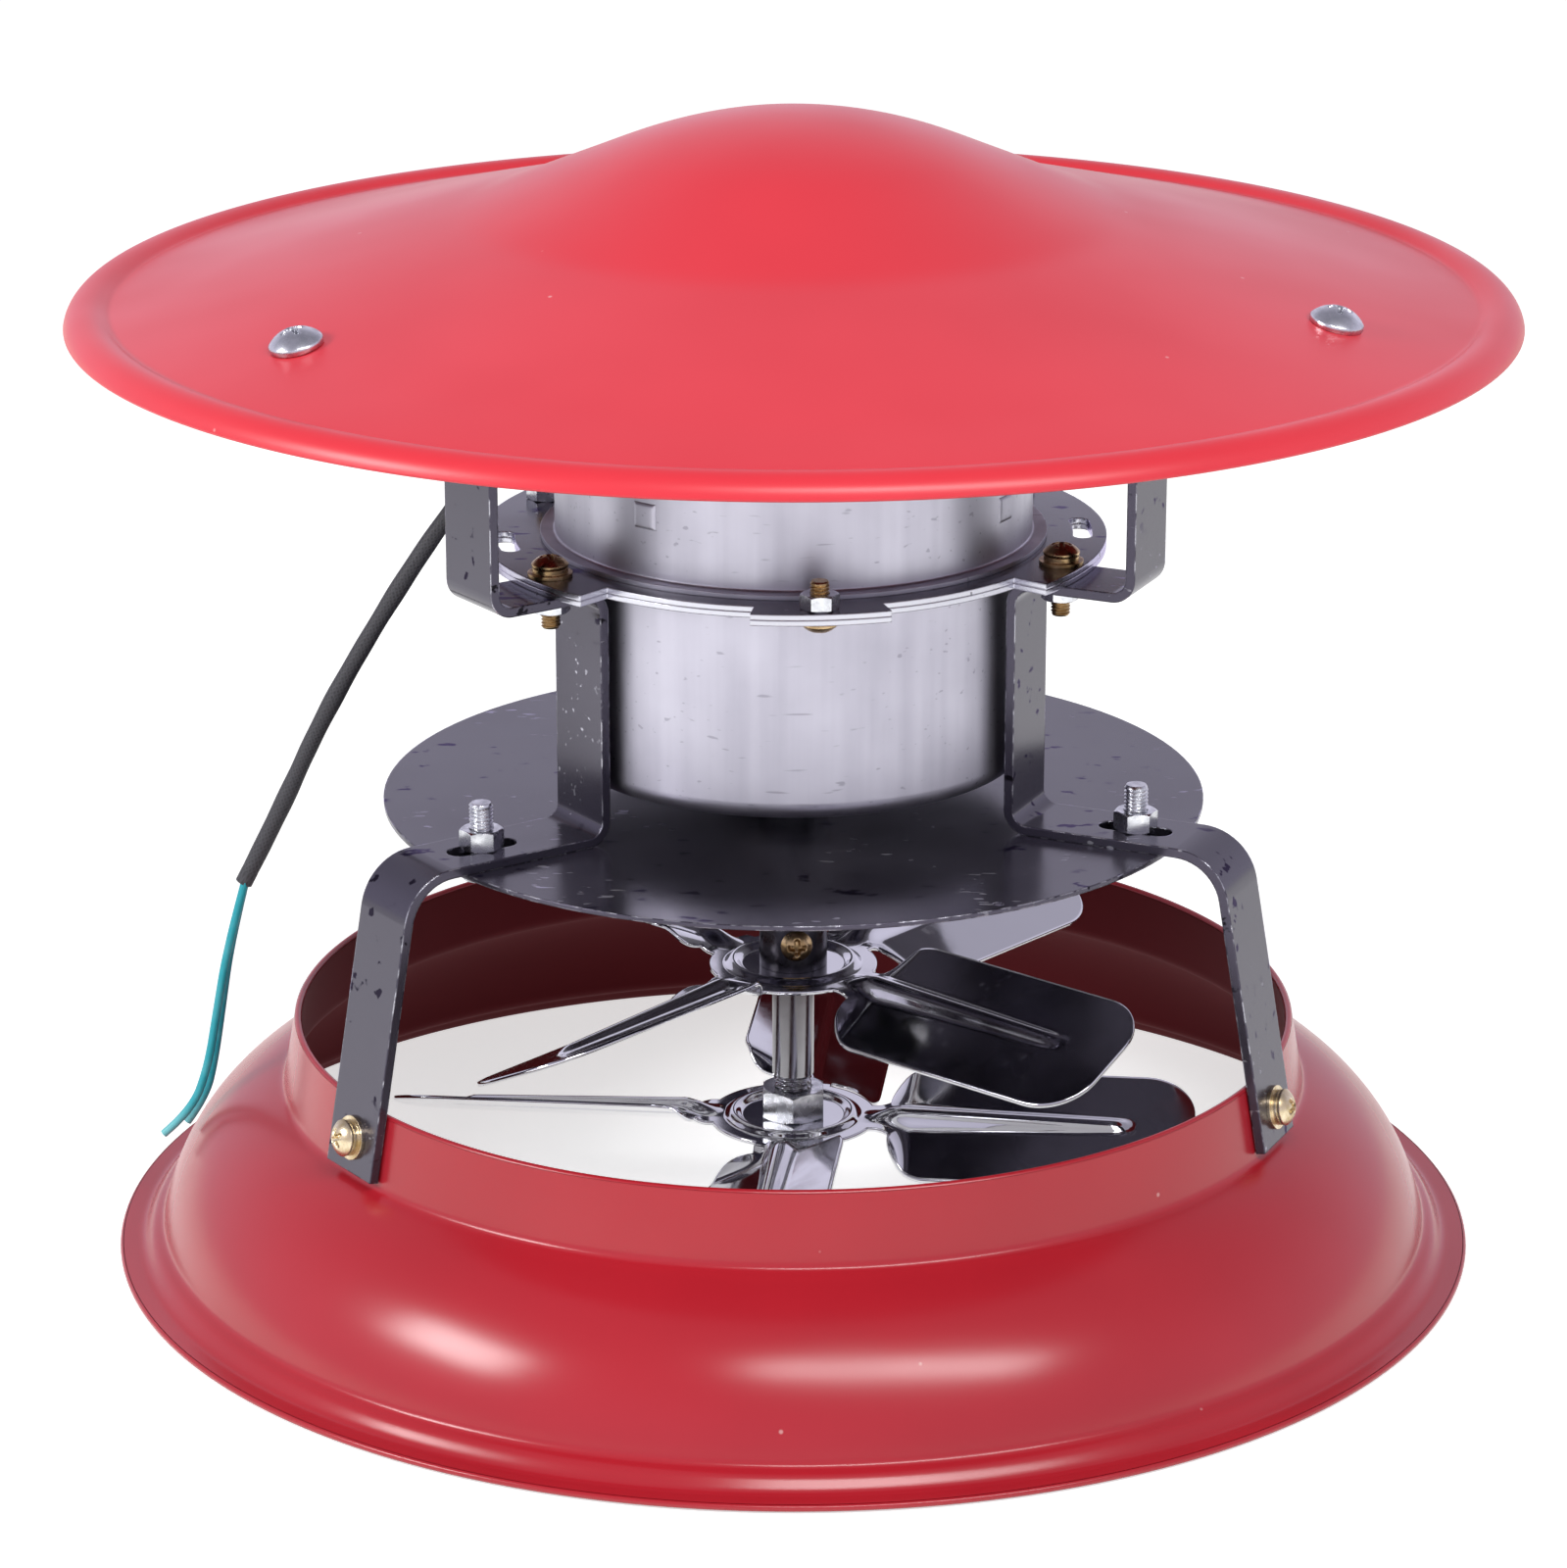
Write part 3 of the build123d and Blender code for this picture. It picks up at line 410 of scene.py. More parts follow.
@dataclass(frozen=True)
class WireInsulation(Finish):
    """Extruded PVC on a hook-up wire: a soft sheen, and paler where the end has been pulled and cut."""

    pale: str = "#7CC9CF"
    pale_share: float = 0.8
    smudge_mm: float = 4.0

    def make(self) -> bpy.types.Material:
        """Makes the PVC, which pales along the last part of the tube's own map."""
        material, tree, shader, coords = self.start()
        tube = add(tree, "TexCoord", output="UV")
        along = add(tree, "SeparateXYZ", {0: tube}, output="Y")
        end = add(tree, "MapRange", {VALUE: along, FROM: self.pale_share, UPTO: 1.0, HIGH: 0.9})
        mark = add(tree, "TexNoise", {"Vector": coords, "Scale": per_metre(self.smudge_mm), "Detail": 3.0})
        smudge = add(tree, "MapRange", {VALUE: mark, FROM: 0.45, UPTO: 0.75, HIGH: 0.22})
        share = add(tree, "Math", {0: end, 1: smudge}, operation="MAXIMUM")
        colours = {SHARE: share, FIRST: linear(self.colour), SECOND: linear(self.pale)}
        tone = add(tree, "Mix", colours, data_type="RGBA", output=MIXED)
        tree.links.new(tone, shader.inputs["Base Color"])
        return material


@dataclass(frozen=True)
class LayeredMetal(Finish):
    """Stacked laminations or wound wire: fine level lines, a little coarser than life so that they show."""

    shade: str = "#404040"
    layer_mm: float = 1.0

    def make(self) -> bpy.types.Material:
        """Makes the layers as bands up the axis."""
        material, tree, shader, coords = self.start()
        bands = {"Vector": coords, "Scale": band_scale(self.layer_mm * MM), "Distortion": 0.6}
        layer = add(tree, "TexWave", bands, bands_direction="Z", output="Fac")
        colours = {SHARE: layer, FIRST: linear(self.shade), SECOND: linear(self.colour)}
        tone = add(tree, "Mix", colours, data_type="RGBA", output=MIXED)
        bump = add(tree, "Bump", {"Strength": 0.4, "Distance": 0.2 * MM, "Height": layer})
        feed(tree, shader, {"Base Color": tone, "Normal": bump})
        return material


# The inner colours are painted shade for the insides of the cap and the cowl.
CAP_RED = SprayedEnamel("stoved_enamel_cap_red", "#DE3340", 0.32, shade="#D72E3B", inner="#661219")
BASE_RED = SprayedEnamel("stoved_enamel_base_red", "#AF212D", 0.23, shade="#A71D29", inner="#5E1119")
BLACK_PAINT = WornPaint("semi_gloss_black_paint_worn", "#211F26", 0.20)
PLATE_PAINT = WornPaint("semi_gloss_black_paint_sheared", "#211F26", 0.20, cut_faces=0.9)
ZINC_SHEET = GalvanisedSheet("galvanised_sheet_drawn", "#BFBDC8", 0.45, 1.0, shade="#B0AEB9")
BRIGHT_ZINC = PlatedMetal("bright_zinc_plate", "#DADBDF", 0.22, 1.0, shade="#B4B6BC")
YELLOW_ZINC = PlatedMetal("yellow_passivated_zinc", "#C9AE84", 0.27, 1.0, shade="#977A52")
PALE_ZINC = PlatedMetal("yellow_passivated_zinc_thin", "#DED0B4", 0.25, 1.0, shade="#B8A47C")
BLACKENED_STEEL = PlatedMetal("blackened_turned_steel", "#56535A", 0.30, 1.0, shade="#3C3A40")
FAN_STEEL = MirrorSteel("bright_rolled_stainless", "#D2D2D6", 0.05, 1.0)
SHAFT_STEEL = MirrorSteel("ground_steel_shaft", "#A6A6AA", 0.14, 1.0, ripple_mm=5.0, ripple=0.02)
BEARING_STEEL = MirrorSteel("ground_bearing_steel", "#C2C2C6", 0.10, 1.0, ripple_mm=5.0, ripple=0.02)
BLACK_RUBBER = Finish("moulded_black_rubber", "#161616", 0.62)
SLEEVE_CLOTH = BraidedSleeve("varnished_glass_braid", "#232325", 0.55)
TEAL_PVC = WireInsulation("extruded_pvc_teal", "#0E9FAD", 0.38)
LAMINATION = LayeredMetal("stacked_lamination_steel", "#8A8B90", 0.45, 1.0, shade="#5A5A60")
COPPER = LayeredMetal("enamelled_copper_winding", "#B8703A", 0.35, 1.0, shade="#7A3F1C", layer_mm=0.9)
CAST_ALUMINIUM = PlatedMetal("die_cast_aluminium", "#C4C5C9", 0.45, 1.0, shade="#A9ABB0")


def dress(finish: Finish, *nodes: str) -> None:
    """Gives CAD nodes that keep their shape a finish.

    Args:
        finish: The finish.
        *nodes: The names of the CAD nodes.
    """
    for name in nodes:
        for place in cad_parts[name].material_slots:
            place.material = finish.material()
        LOG.info("%s: CAD shape in %s", name, finish.name)


@dataclass(frozen=True)
class Grid:
    """A surface as rows and columns of points in millimetres.

    inside is 1 on a sheet's inner face and 0 on its outer face.
    """

    points: np.ndarray
    wrap_rows: bool = False
    wrap_columns: bool = True
    uv: np.ndarray | None = None
    inside: np.ndarray | None = None

    def faces(self) -> np.ndarray:
        """Four corners for each cell, joined round where the rows or columns wrap."""
        rows, columns = self.points.shape[:2]
        i = np.arange(rows if self.wrap_rows else rows - 1)[:, None]
        j = np.arange(columns if self.wrap_columns else columns - 1)[None, :]
        below, right = (i + 1) % rows, (j + 1) % columns
        corners = (i * columns + j, i * columns + right, below * columns + right, below * columns + j)
        return np.stack(corners, -1).reshape(-1, 4)


def lay(
    name: str,
    grids: list[Grid],
    finish: Finish,
    body: Body,
    replaces: list[str],
    sharp_angle: float = 40.0,
) -> bpy.types.Object:
    """Puts grids into one mesh piece, closes its seams and poles and sets it on its body.

    Args:
        name: The piece's name.
        grids: Its surfaces, in millimetres.
        finish: Its finish.
        body: The CAD body that it rides on.
        replaces: The CAD nodes that it stands for, or none where it is added to them.
        sharp_angle: Edges that turn by more than this many degrees stay crisp.

    Returns:
        The new object, at the origin.
    """
    counts = np.cumsum([0] + [g.points.shape[0] * g.points.shape[1] for g in grids])
    points = np.vstack([g.points.reshape(-1, 3) for g in grids]) * MM
    faces = np.vstack([g.faces() + start for g, start in zip(grids, counts)])
    mesh = bpy.data.meshes.new(name)
    mesh.from_pydata(points.tolist(), [], faces.tolist())
    if all(g.uv is not None for g in grids):
        corners = np.zeros(len(mesh.loops), np.int32)
        mesh.loops.foreach_get("vertex_index", corners)
        uv = np.vstack([g.uv.reshape(-1, 2) for g in grids])[corners]
        mesh.uv_layers.new(name="tube").data.foreach_set("uv", uv.astype(np.float32).ravel())
    if all(g.inside is not None for g in grids):
        inside = np.concatenate([g.inside.ravel() for g in grids])
        mesh.attributes.new(INSIDE, "FLOAT", "POINT").data.foreach_set("value", inside.astype(np.float32))
    work = bmesh.new()
    work.from_mesh(mesh)
    bmesh.ops.remove_doubles(work, verts=work.verts, dist=MERGE_MM * MM)
    bmesh.ops.recalc_face_normals(work, faces=work.faces)
    work.to_mesh(mesh)
    work.free()
    mesh.polygons.foreach_set("use_smooth", np.ones(len(mesh.polygons), bool))
    mesh.set_sharp_from_angle(angle=math.radians(sharp_angle))
    mesh.materials.append(finish.material())
    piece = bpy.data.objects.new(name, mesh)
    bpy.context.scene.collection.objects.link(piece)
    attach(piece, body.value)
    if replaces:
        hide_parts(*replaces)
    LOG.info("%s: %d faces in %s", name, len(mesh.polygons), finish.name)
    return piece


def smooth_step(value: np.ndarray) -> np.ndarray:
    """Rises from 0 to 1 as 3t^2 - 2t^3, level at both ends."""
    t = np.clip(value, 0.0, 1.0)
    return t * t * (3.0 - 2.0 * t)


def evenly(path: np.ndarray, step: float) -> np.ndarray:
    """Spaces the points of a path evenly.

    Args:
        path: Points of two coordinates.
        step: The wanted spacing.

    Returns:
        Points at equal distances along the path, read off by its length.
    """
    run = np.concatenate([[0.0], np.cumsum(np.linalg.norm(np.diff(path, axis=0), axis=1))])
    places = np.linspace(0.0, run[-1], max(2, int(run[-1] / step) + 1))
    return np.stack([np.interp(places, run, path[:, i]) for i in range(path.shape[1])], -1)


def softened(path: np.ndarray, width: int) -> np.ndarray:
    """Rounds a path's corners as a spinning roller does.

    Each point becomes the mean of its neighbours under a raised-cosine window, and the ends stay where they
    are because the path is mirrored through them.

    Args:
        path: Evenly spaced points.
        width: The half width of the window in points.

    Returns:
        The softened path.
    """
    window = np.hanning(2 * width + 3)[1:-1]
    window /= window.sum()
    before = 2 * path[0] - path[width:0:-1]
    after = 2 * path[-1] - path[-2 : -width - 2 : -1]
    long = np.vstack([before, path, after])
    return np.stack([np.convolve(long[:, i], window, "valid") for i in range(2)], -1)


def bowed(start: tuple[float, float], end: tuple[float, float], radius: float, count: int) -> np.ndarray:
    """An arc of a given radius from start to end that bows to the right of that line.

    The centre lies on the line's middle normal, sqrt(radius^2 - half^2) to its left, and the angle runs
    evenly.

    Args:
        start: First point.
        end: Last point.
        radius: Radius of the arc.
        count: How many points.

    Returns:
        The arc's points.
    """
    a, b = np.array(start), np.array(end)
    along = b - a
    half = np.linalg.norm(along) / 2
    left = np.array([-along[1], along[0]]) / (2 * half)
    centre = (a + b) / 2 + left * math.sqrt(radius**2 - half**2)
    first, last = (math.atan2(p[1] - centre[1], p[0] - centre[0]) for p in (a, b))
    turn = np.linspace(0.0, (last - first + math.pi) % (2 * math.pi) - math.pi, count) + first
    return centre + radius * np.stack([np.cos(turn), np.sin(turn)], -1)


def sheet_section(
    path: np.ndarray, thickness: float, round_start: bool, round_end: bool
) -> tuple[np.ndarray, np.ndarray]:
    """The closed section of a sheet whose outer face follows a path.

    The other face is the path moved by the thickness along its left normal. A rounded end is a half circle on
    the middle of the sheet, and the path is drawn back by its radius so that the sheet keeps its reach.

    Args:
        path: The outer face, as radius and height.
        thickness: The sheet's thickness.
        round_start: Whether the first end is rounded.
        round_end: Whether the last end is rounded.

    Returns:
        The section's points in order, and 1 for each point on the inner face and 0 for the others.
    """
    run = np.gradient(path, axis=0)
    run /= np.linalg.norm(run, axis=1, keepdims=True)
    path = path + 0.0
    path[0] += run[0] * thickness / 2 * round_start
    path[-1] -= run[-1] * thickness / 2 * round_end
    normal = np.stack([-run[:, 1], run[:, 0]], -1)
    other = path + thickness * normal
    turn = np.linspace(0.0, math.pi, ROUND_POINTS)[1:-1, None]
    bulge = thickness / 2
    start = path[0] + bulge * normal[0] * (1 + np.cos(turn)) - bulge * run[0] * np.sin(turn)
    end = path[-1] + bulge * normal[-1] * (1 - np.cos(turn)) + bulge * run[-1] * np.sin(turn)
    parts = [path] + [end] * round_end + [other[::-1]] + [start] * round_start
    sides = [0.0 * path] + [0.0 * end] * round_end + [0.0 * other + 1.0] + [0.0 * start] * round_start
    return np.vstack(parts), np.vstack(sides)[:, :1]


def turns(count: int) -> np.ndarray:
    """Even angles round a full turn, as one row."""
    return np.linspace(0.0, 2 * math.pi, count, endpoint=False)[None, :]


def ringed(radius: np.ndarray, angle: np.ndarray, height: np.ndarray) -> np.ndarray:
    """Points round the axis: x = r cos a, y = r sin a, z = height.

    Args:
        radius: Distances from the axis.
        angle: Angles in radians.
        height: Heights.

    Returns:
        The points, for all rows and columns that the three make together.
    """
    return np.stack(np.broadcast_arrays(radius * np.cos(angle), radius * np.sin(angle), height), -1)


def about_axis(points: np.ndarray, degrees: float) -> np.ndarray:
    """Turns points about the axis: x becomes x cos a - y sin a, and y becomes x sin a + y cos a.

    Args:
        points: The points.
        degrees: The angle.

    Returns:
        The turned points.
    """
    c, s = math.cos(math.radians(degrees)), math.sin(math.radians(degrees))
    x, y, z = np.moveaxis(points, -1, 0)
    return np.stack([c * x - s * y, s * x + c * y, z], -1)


def spun(section: np.ndarray, segments: int) -> np.ndarray:
    """Turns a section about the axis, at even angles.

    Args:
        section: Points as radius and height.
        segments: Number of angles.

    Returns:
        The grid of points, a row for each point of the section.
    """
    return ringed(section[:, :1], turns(segments), section[:, 1:])


@dataclass
class RainCap:
    """The spun rain cap: rounded crown, steep cone, flatter skirt and beaded lip. Sizes in millimetres."""

    radius: float = 150.0
    lip_z: float = 203.0
    bead_width: float = 9.0
    bead_rise: float = 4.4
    bead_crest_share: float = 0.4
    valley_rise: float = 3.0
    skirt_slope: float = 14.2
    crease_radius: float = 68.0
    cone_slope: float = 22.4
    crown_radius: float = 100.0
    sheet: float = 1.0
    groove_width: float = 7.0
    fine_step: float = 0.45
    step: float = 1.8
    segments: int = 240
    unevenness: float = 0.10
    calm_middle: float = 60.0
    calm_edge: float = 20.0
    wave_mean: float = 1.6
    wave_drift: float = 17.0
    bead_points: int = 40
    crown_points: int = 30

    def bead(self) -> np.ndarray:
        """The bead's arc from lip over crest to valley, on the circle through these three points."""
        lip = np.array([self.radius, self.lip_z])
        crest = lip + np.array([-self.bead_crest_share * self.bead_width, self.bead_rise])
        valley = lip + np.array([-self.bead_width, self.valley_rise])
        sides = 2 * np.array([crest - lip, valley - lip])
        centre = np.linalg.solve(sides, [crest @ crest - lip @ lip, valley @ valley - lip @ lip])
        first, last = (math.atan2(p[1] - centre[1], p[0] - centre[0]) for p in (lip, valley))
        turn = np.linspace(first, last + 2 * math.pi * (last < first), self.bead_points)
        return centre + np.linalg.norm(lip - centre) * np.stack([np.cos(turn), np.sin(turn)], -1)

    def outline(self) -> np.ndarray:
        """The outer face from lip to apex: bead arc, skirt line, cone line and crown arc.

        The bead and the groove behind it are stepped finely and kept crisp, and the rest is softened.
        """
        skirt, cone = math.tan(math.radians(self.skirt_slope)), math.radians(self.cone_slope)
        valley = (self.radius - self.bead_width, self.lip_z + self.valley_rise)
        inner = (valley[0] - self.groove_width, valley[1] + self.groove_width * skirt)
        crease = (self.crease_radius, valley[1] + (valley[0] - self.crease_radius) * skirt)
        edge_radius = self.crown_radius * math.sin(cone)
        edge_z = crease[1] + (self.crease_radius - edge_radius) * math.tan(cone)
        lean = np.linspace(cone, 0.0, self.crown_points)
        crown_z = edge_z - self.crown_radius * math.cos(cone)
        crown = np.stack([self.crown_radius * np.sin(lean), crown_z + self.crown_radius * np.cos(lean)], -1)
        lip = softened(evenly(np.vstack([self.bead(), [inner]]), self.fine_step), ROLLER)
        top = softened(evenly(np.vstack([[inner], [crease], crown]), self.step), ROLLER)
        return np.vstack([lip, top[1:]])

    def build(self) -> None:
        """Builds the cap with the slight unevenness that spinning leaves, in long waves round the skirt."""
        path = self.outline()
        path[-1, 0] = 0.0
        section, side = sheet_section(path, self.sheet, True, False)
        section[:, 0] = np.maximum(section[:, 0], 0.0)
        points = spun(section, self.segments)
        radius = np.hypot(points[..., 0], points[..., 1])
        angle = np.arctan2(points[..., 1], points[..., 0])
        edge = (self.radius - self.bead_width - radius) / self.calm_edge
        middle = smooth_step(radius / self.calm_middle) * smooth_step(edge)
        wave = np.sin(3 * angle + 0.6) + 0.6 * np.sin(5 * angle + radius / self.wave_drift)
        points[..., 2] -= self.unevenness * middle * (self.wave_mean + wave)
        grid = Grid(points, True, inside=side + 0 * radius)
        lay("rain_cap_shell", [grid], CAP_RED, Body.HOUSING, ["rain_cap"])


@dataclass
class BaseCowl:
    """The spun base: flat flange, pressed step, bulging shoulder and leaning collar. Sizes in millimetres."""

    sheet: float = 1.5
    flange_radius: float = 146.0
    flange_width: float = 5.0
    step_run: float = 2.4
    step_rise: float = 3.0
    ledge_width: float = 2.2
    ledge_rise: float = 0.8
    bulge_radius: float = 40.0
    fold_z: float = 35.3
    collar_radius: float = 107.0
    collar_z: float = 51.0
    collar_lean: float = 10.2
    spacing: float = 0.6
    shoulder_points: int = 60
    segments: int = 256

    def build(self) -> None:
        """Builds the cowl from its outer face: flange, step and ledge lines, shoulder arc and collar line."""
        lean = math.tan(math.radians(self.collar_lean))
        fold = (self.collar_radius + (self.collar_z - self.fold_z) * lean, self.fold_z)
        step, ledge = (self.step_run, self.step_rise), (self.ledge_width, self.ledge_rise)
        runs = np.array([(self.flange_width, 0.0), step, ledge])
        rim = [self.flange_radius, self.sheet]
        corners = np.vstack([[0.0, 0.0], np.cumsum(runs, axis=0)]) * [-1.0, 1.0] + rim
        shoulder = bowed(tuple(corners[-1]), fold, self.bulge_radius, self.shoulder_points)
        path = np.vstack([corners, shoulder[1:], [(self.collar_radius, self.collar_z)]])
        path = softened(evenly(path, self.spacing), ROLLER)
        section, side = sheet_section(path, self.sheet, True, True)
        section[:, 1] = np.maximum(section[:, 1], 0.0)
        points = spun(section, self.segments)
        grid = Grid(points, True, inside=side + 0 * points[..., 0])
        lay("base_cowl_shell", [grid], BASE_RED, Body.HOUSING, ["base_cowl"])


@dataclass
class FanWheel:
    """A four-bladed fan stamped from one bright sheet. Sizes in millimetres."""

    node: str
    height: float
    turn: float
    sheet: float = 0.9
    bore: float = 4.6
    hub: float = 18.0
    ring: float = 13.0
    ring_rise: float = 1.2
    ring_half: float = 2.0
    blades: int = 4
    neck_half: float = 6.5
    root: float = 30.0
    tip: float = 87.0
    lead: float = 18.0
    trail: float = 15.0
    tip_corner: float = 11.0
    pitch: float = 25.0
    twist_end: float = 26.0
    rib_start: float = 14.0
    rib_full: float = 24.0
    rib_end: float = 73.0
    rib_root_rise: float = 2.6
    rib_tip_rise: float = 1.3
    rib_flank: float = 1.35
    rib_close: float = 3.0
    neck_length: float = 3.0
    across: int = 49
    neck_rows: int = 6
    corner_rows: int = 16
    blade_rows: int = 40
    hub_rows: int = 40
    gap_columns: int = 14

    def rib(self, along: np.ndarray, across: np.ndarray) -> np.ndarray:
        """Height of the pressed rib: a raised cosine across it, swelling from the hub and closing at its end.

        Args:
            along: Distance out along the blade.
            across: Distance to the side of its middle.

        Returns:
            The height above the sheet.
        """
        share = np.clip((along - self.rib_full) / (self.rib_end - self.rib_full), 0.0, 1.0)
        rise = self.rib_root_rise + (self.rib_tip_rise - self.rib_root_rise) * share
        swell = smooth_step((along - self.rib_start) / (self.rib_full - self.rib_start))
        close = np.sqrt(np.clip((self.rib_end - along) / self.rib_close, 0.0, 1.0))
        half = self.rib_flank * (0.5 + rise)
        bump = 0.5 + 0.5 * np.cos(math.pi * np.clip(across / half, -1.0, 1.0))
        return rise * swell * close * bump

    def side(self, along: np.ndarray, width: float) -> np.ndarray:
        """Half width of the blade: neck, quarter ellipse at the root, full width and the tip's round.

        Args:
            along: Distance out along the blade.
            width: The full half width on this side.

        Returns:
            The half width at each distance.
        """
        root = np.clip((self.root - along) / (self.root - self.hub - self.neck_length), 0.0, 1.0)
        tip = np.clip((along - self.tip + self.tip_corner) / self.tip_corner, 0.0, 1.0)
        opened = self.neck_half + (width - self.neck_half) * np.sqrt(1.0 - root**2)
        return opened - self.tip_corner * (1.0 - np.sqrt(1.0 - tip**2))

    def blade(self) -> np.ndarray:
        """One blade along +X: distance out by distance across, twisted about its middle line to its pitch."""
        quarter = np.linspace(0.0, math.pi / 2, self.corner_rows)
        neck = np.linspace(self.hub, self.hub + self.neck_length, self.neck_rows)
        opening = self.root - (self.root - self.hub - self.neck_length) * np.cos(quarter)
        plain = np.linspace(self.root, self.tip - self.tip_corner, self.blade_rows)
        closing = self.tip - self.tip_corner + self.tip_corner * np.sin(quarter)
        along = np.concatenate([neck, opening[1:], plain[1:], closing[1:]])[:, None]
        share = np.linspace(-1.0, 1.0, self.across)[None, :]
        y = np.where(share < 0, share * self.side(along, self.lead), share * self.side(along, self.trail))
        start = np.sqrt(self.hub**2 - y**2)
        blend = smooth_step((along - self.hub) / self.neck_length)
        x = start + (along - start) * np.where(along < self.hub + self.neck_length, blend, 1.0)
        twist = math.radians(self.pitch) * smooth_step((x - self.hub) / (self.twist_end - self.hub))
        rise = self.rib(x, y)
        c, s = np.cos(twist), np.sin(twist)
        return np.stack([x, y * c - rise * s, y * s + rise * c], -1)

    def hub_disc(self) -> np.ndarray:
        """The hub: a disc with a pressed ring and the start of each rib; its columns meet the blades."""
        share = np.linspace(-1.0, 1.0, self.across)
        root = np.arcsin(self.neck_half * share / self.hub)
        gap = np.linspace(root[-1], 2 * math.pi / self.blades + root[0], self.gap_columns)[1:-1]
        sector = np.concatenate([root, gap])
        angle = np.concatenate([sector + i * 2 * math.pi / self.blades for i in range(self.blades)])[None, :]
        radius = np.linspace(self.bore, self.hub, self.hub_rows)[:, None]
        off = (angle + math.pi / self.blades) % (2 * math.pi / self.blades) - math.pi / self.blades
        ring = 0.5 + 0.5 * np.cos(math.pi * np.clip((radius - self.ring) / self.ring_half, -1.0, 1.0))
        rise = np.maximum(self.ring_rise * ring, self.rib(radius * np.cos(off), radius * np.sin(off)))
        return ringed(radius, angle, rise)

    def turned(self, points: np.ndarray, angle: float) -> np.ndarray:
        """Turns points about the axis by an angle in degrees and lifts them to the fan's height."""
        return about_axis(points, angle) + [0.0, 0.0, self.height]

    def build(self) -> None:
        """Builds hub and blades as one surface and gives it the sheet's thickness."""
        grids = [Grid(self.turned(self.hub_disc(), self.turn))]
        blade = self.blade()
        for i in range(self.blades):
            grids.append(Grid(self.turned(blade, self.turn + i * 360.0 / self.blades), wrap_columns=False))
        name = self.node + "_wheel"
        piece = lay(name, grids, FAN_STEEL, Body.ROTOR, [self.node], sharp_angle=60.0)
        wall = piece.modifiers.new("sheet", "SOLIDIFY")
        wall.thickness = self.sheet * MM
        wall.offset = 0.0


def thread(
    radius: float, pitch: float, height: np.ndarray, angle: np.ndarray, ends: tuple[float, float]
) -> np.ndarray:
    """Radius of a cut thread: a rounded zigzag of the height less the turn, run out at both ends.

    Args:
        radius: The thread's crest.
        pitch: Rise for each turn.
        height: Heights of the points.
        angle: Angles of the points in radians.
        ends: Lowest and highest point of the thread.

    Returns:
        The radius at each point.
    """
    phase = (height / pitch - angle / (2 * math.pi)) % 1.0
    groove = 0.5 + 0.5 * np.cos(2 * math.pi * phase)
    inside = np.clip(np.minimum(height - ends[0], ends[1] - height) / (THREAD_RUN_OUT * pitch), 0.0, 1.0)
    return radius - THREAD_DEPTH * pitch * groove * inside


@dataclass(frozen=True)
class Seat:
    """Where a fastener sits: radius, height and the lean of its axis from +Z in degrees."""

    radius: float
    height: float
    lean: float = 0.0

    def place(self, points: np.ndarray, turn: float) -> np.ndarray:
        """Leans points about Y, moves them out and up, and turns them about the axis.

        Args:
            points: The fastener's grid, seated at z = 0.
            turn: The angle about the axis in degrees.

        Returns:
            The placed grid.
        """
        b = math.radians(self.lean)
        x, y, z = np.moveaxis(points, -1, 0)
        out = x * math.cos(b) + z * math.sin(b) + self.radius
        up = z * math.cos(b) - x * math.sin(b) + self.height
        return about_axis(np.stack([out, y, up], -1), turn)


@dataclass
class Screw:
    """A headed screw with its seat at z = 0, its head above and its shank below. Sizes in millimetres."""

    length: float
    head_radius: float = 3.8
    head_height: float = 2.6
    radius: float = 2.0
    pitch: float = 0.7
    rim_share: float = 0.3
    recess_length: float = 4.2
    recess_width: float = 0.95
    recess_depth: float = 1.3
    recess_edge: float = 0.25
    recess_run: float = 0.9
    corner: float = 0.15
    tail: float = 0.4
    point: float = 0.35
    columns: int = 44
    dome_rows: int = 26
    rows_per_turn: int = 7
    lift: float = 0.0

    def dome(self, radius: np.ndarray, angle: np.ndarray) -> np.ndarray:
        """Height of the head: a ball's cap less a crossed recess whose two bars slope down to the middle."""
        rim = self.rim_share * self.head_height
        rise = self.head_height - rim
        ball = (self.head_radius**2 + rise**2) / (2 * rise)
        top = rim + rise - ball + np.sqrt(np.maximum(ball**2 - radius**2, 0.0))
        x, y = np.abs(radius * np.cos(angle)), np.abs(radius * np.sin(angle))
        long, short = np.maximum(x, y), np.minimum(x, y)
        bar = smooth_step((self.recess_width / 2 - short) / self.recess_edge + 0.5)
        reach = np.clip((self.recess_length / 2 - long) / self.recess_run, 0.0, 1.0)
        return top - self.recess_depth * bar * reach

    def grid(self) -> np.ndarray:
        """The whole screw as rows of rings: dome, rim, seat, threaded shank and chamfered end."""
        angle = turns(self.columns)
        spread = np.linspace(0.0, 1.0, self.dome_rows)[:, None]
        dome_r = self.head_radius * spread + 0 * angle
        dome_z = self.dome(dome_r, angle)
        rim = self.rim_share * self.head_height
        under = self.head_radius - self.corner
        edge = np.array([(self.head_radius, rim / 2), (under, 0.0), (self.radius, 0.0)])
        rows = int(self.length / self.pitch * self.rows_per_turn)
        shank_z = np.linspace(-THREAD_START_MM, -self.length + self.tail, rows)[:, None] + 0 * angle
        shank_r = thread(self.radius, self.pitch, shank_z, angle, (-self.length, 0.0))
        end = np.array([(self.radius - self.point, -self.length), (0.0, -self.length)])
        radius = np.vstack([dome_r, edge[:, :1] + 0 * angle, shank_r, end[:, :1] + 0 * angle])
        height = np.vstack([dome_z, edge[:, 1:] + 0 * angle, shank_z, end[:, 1:] + 0 * angle])
        return ringed(radius, angle, height + self.lift)


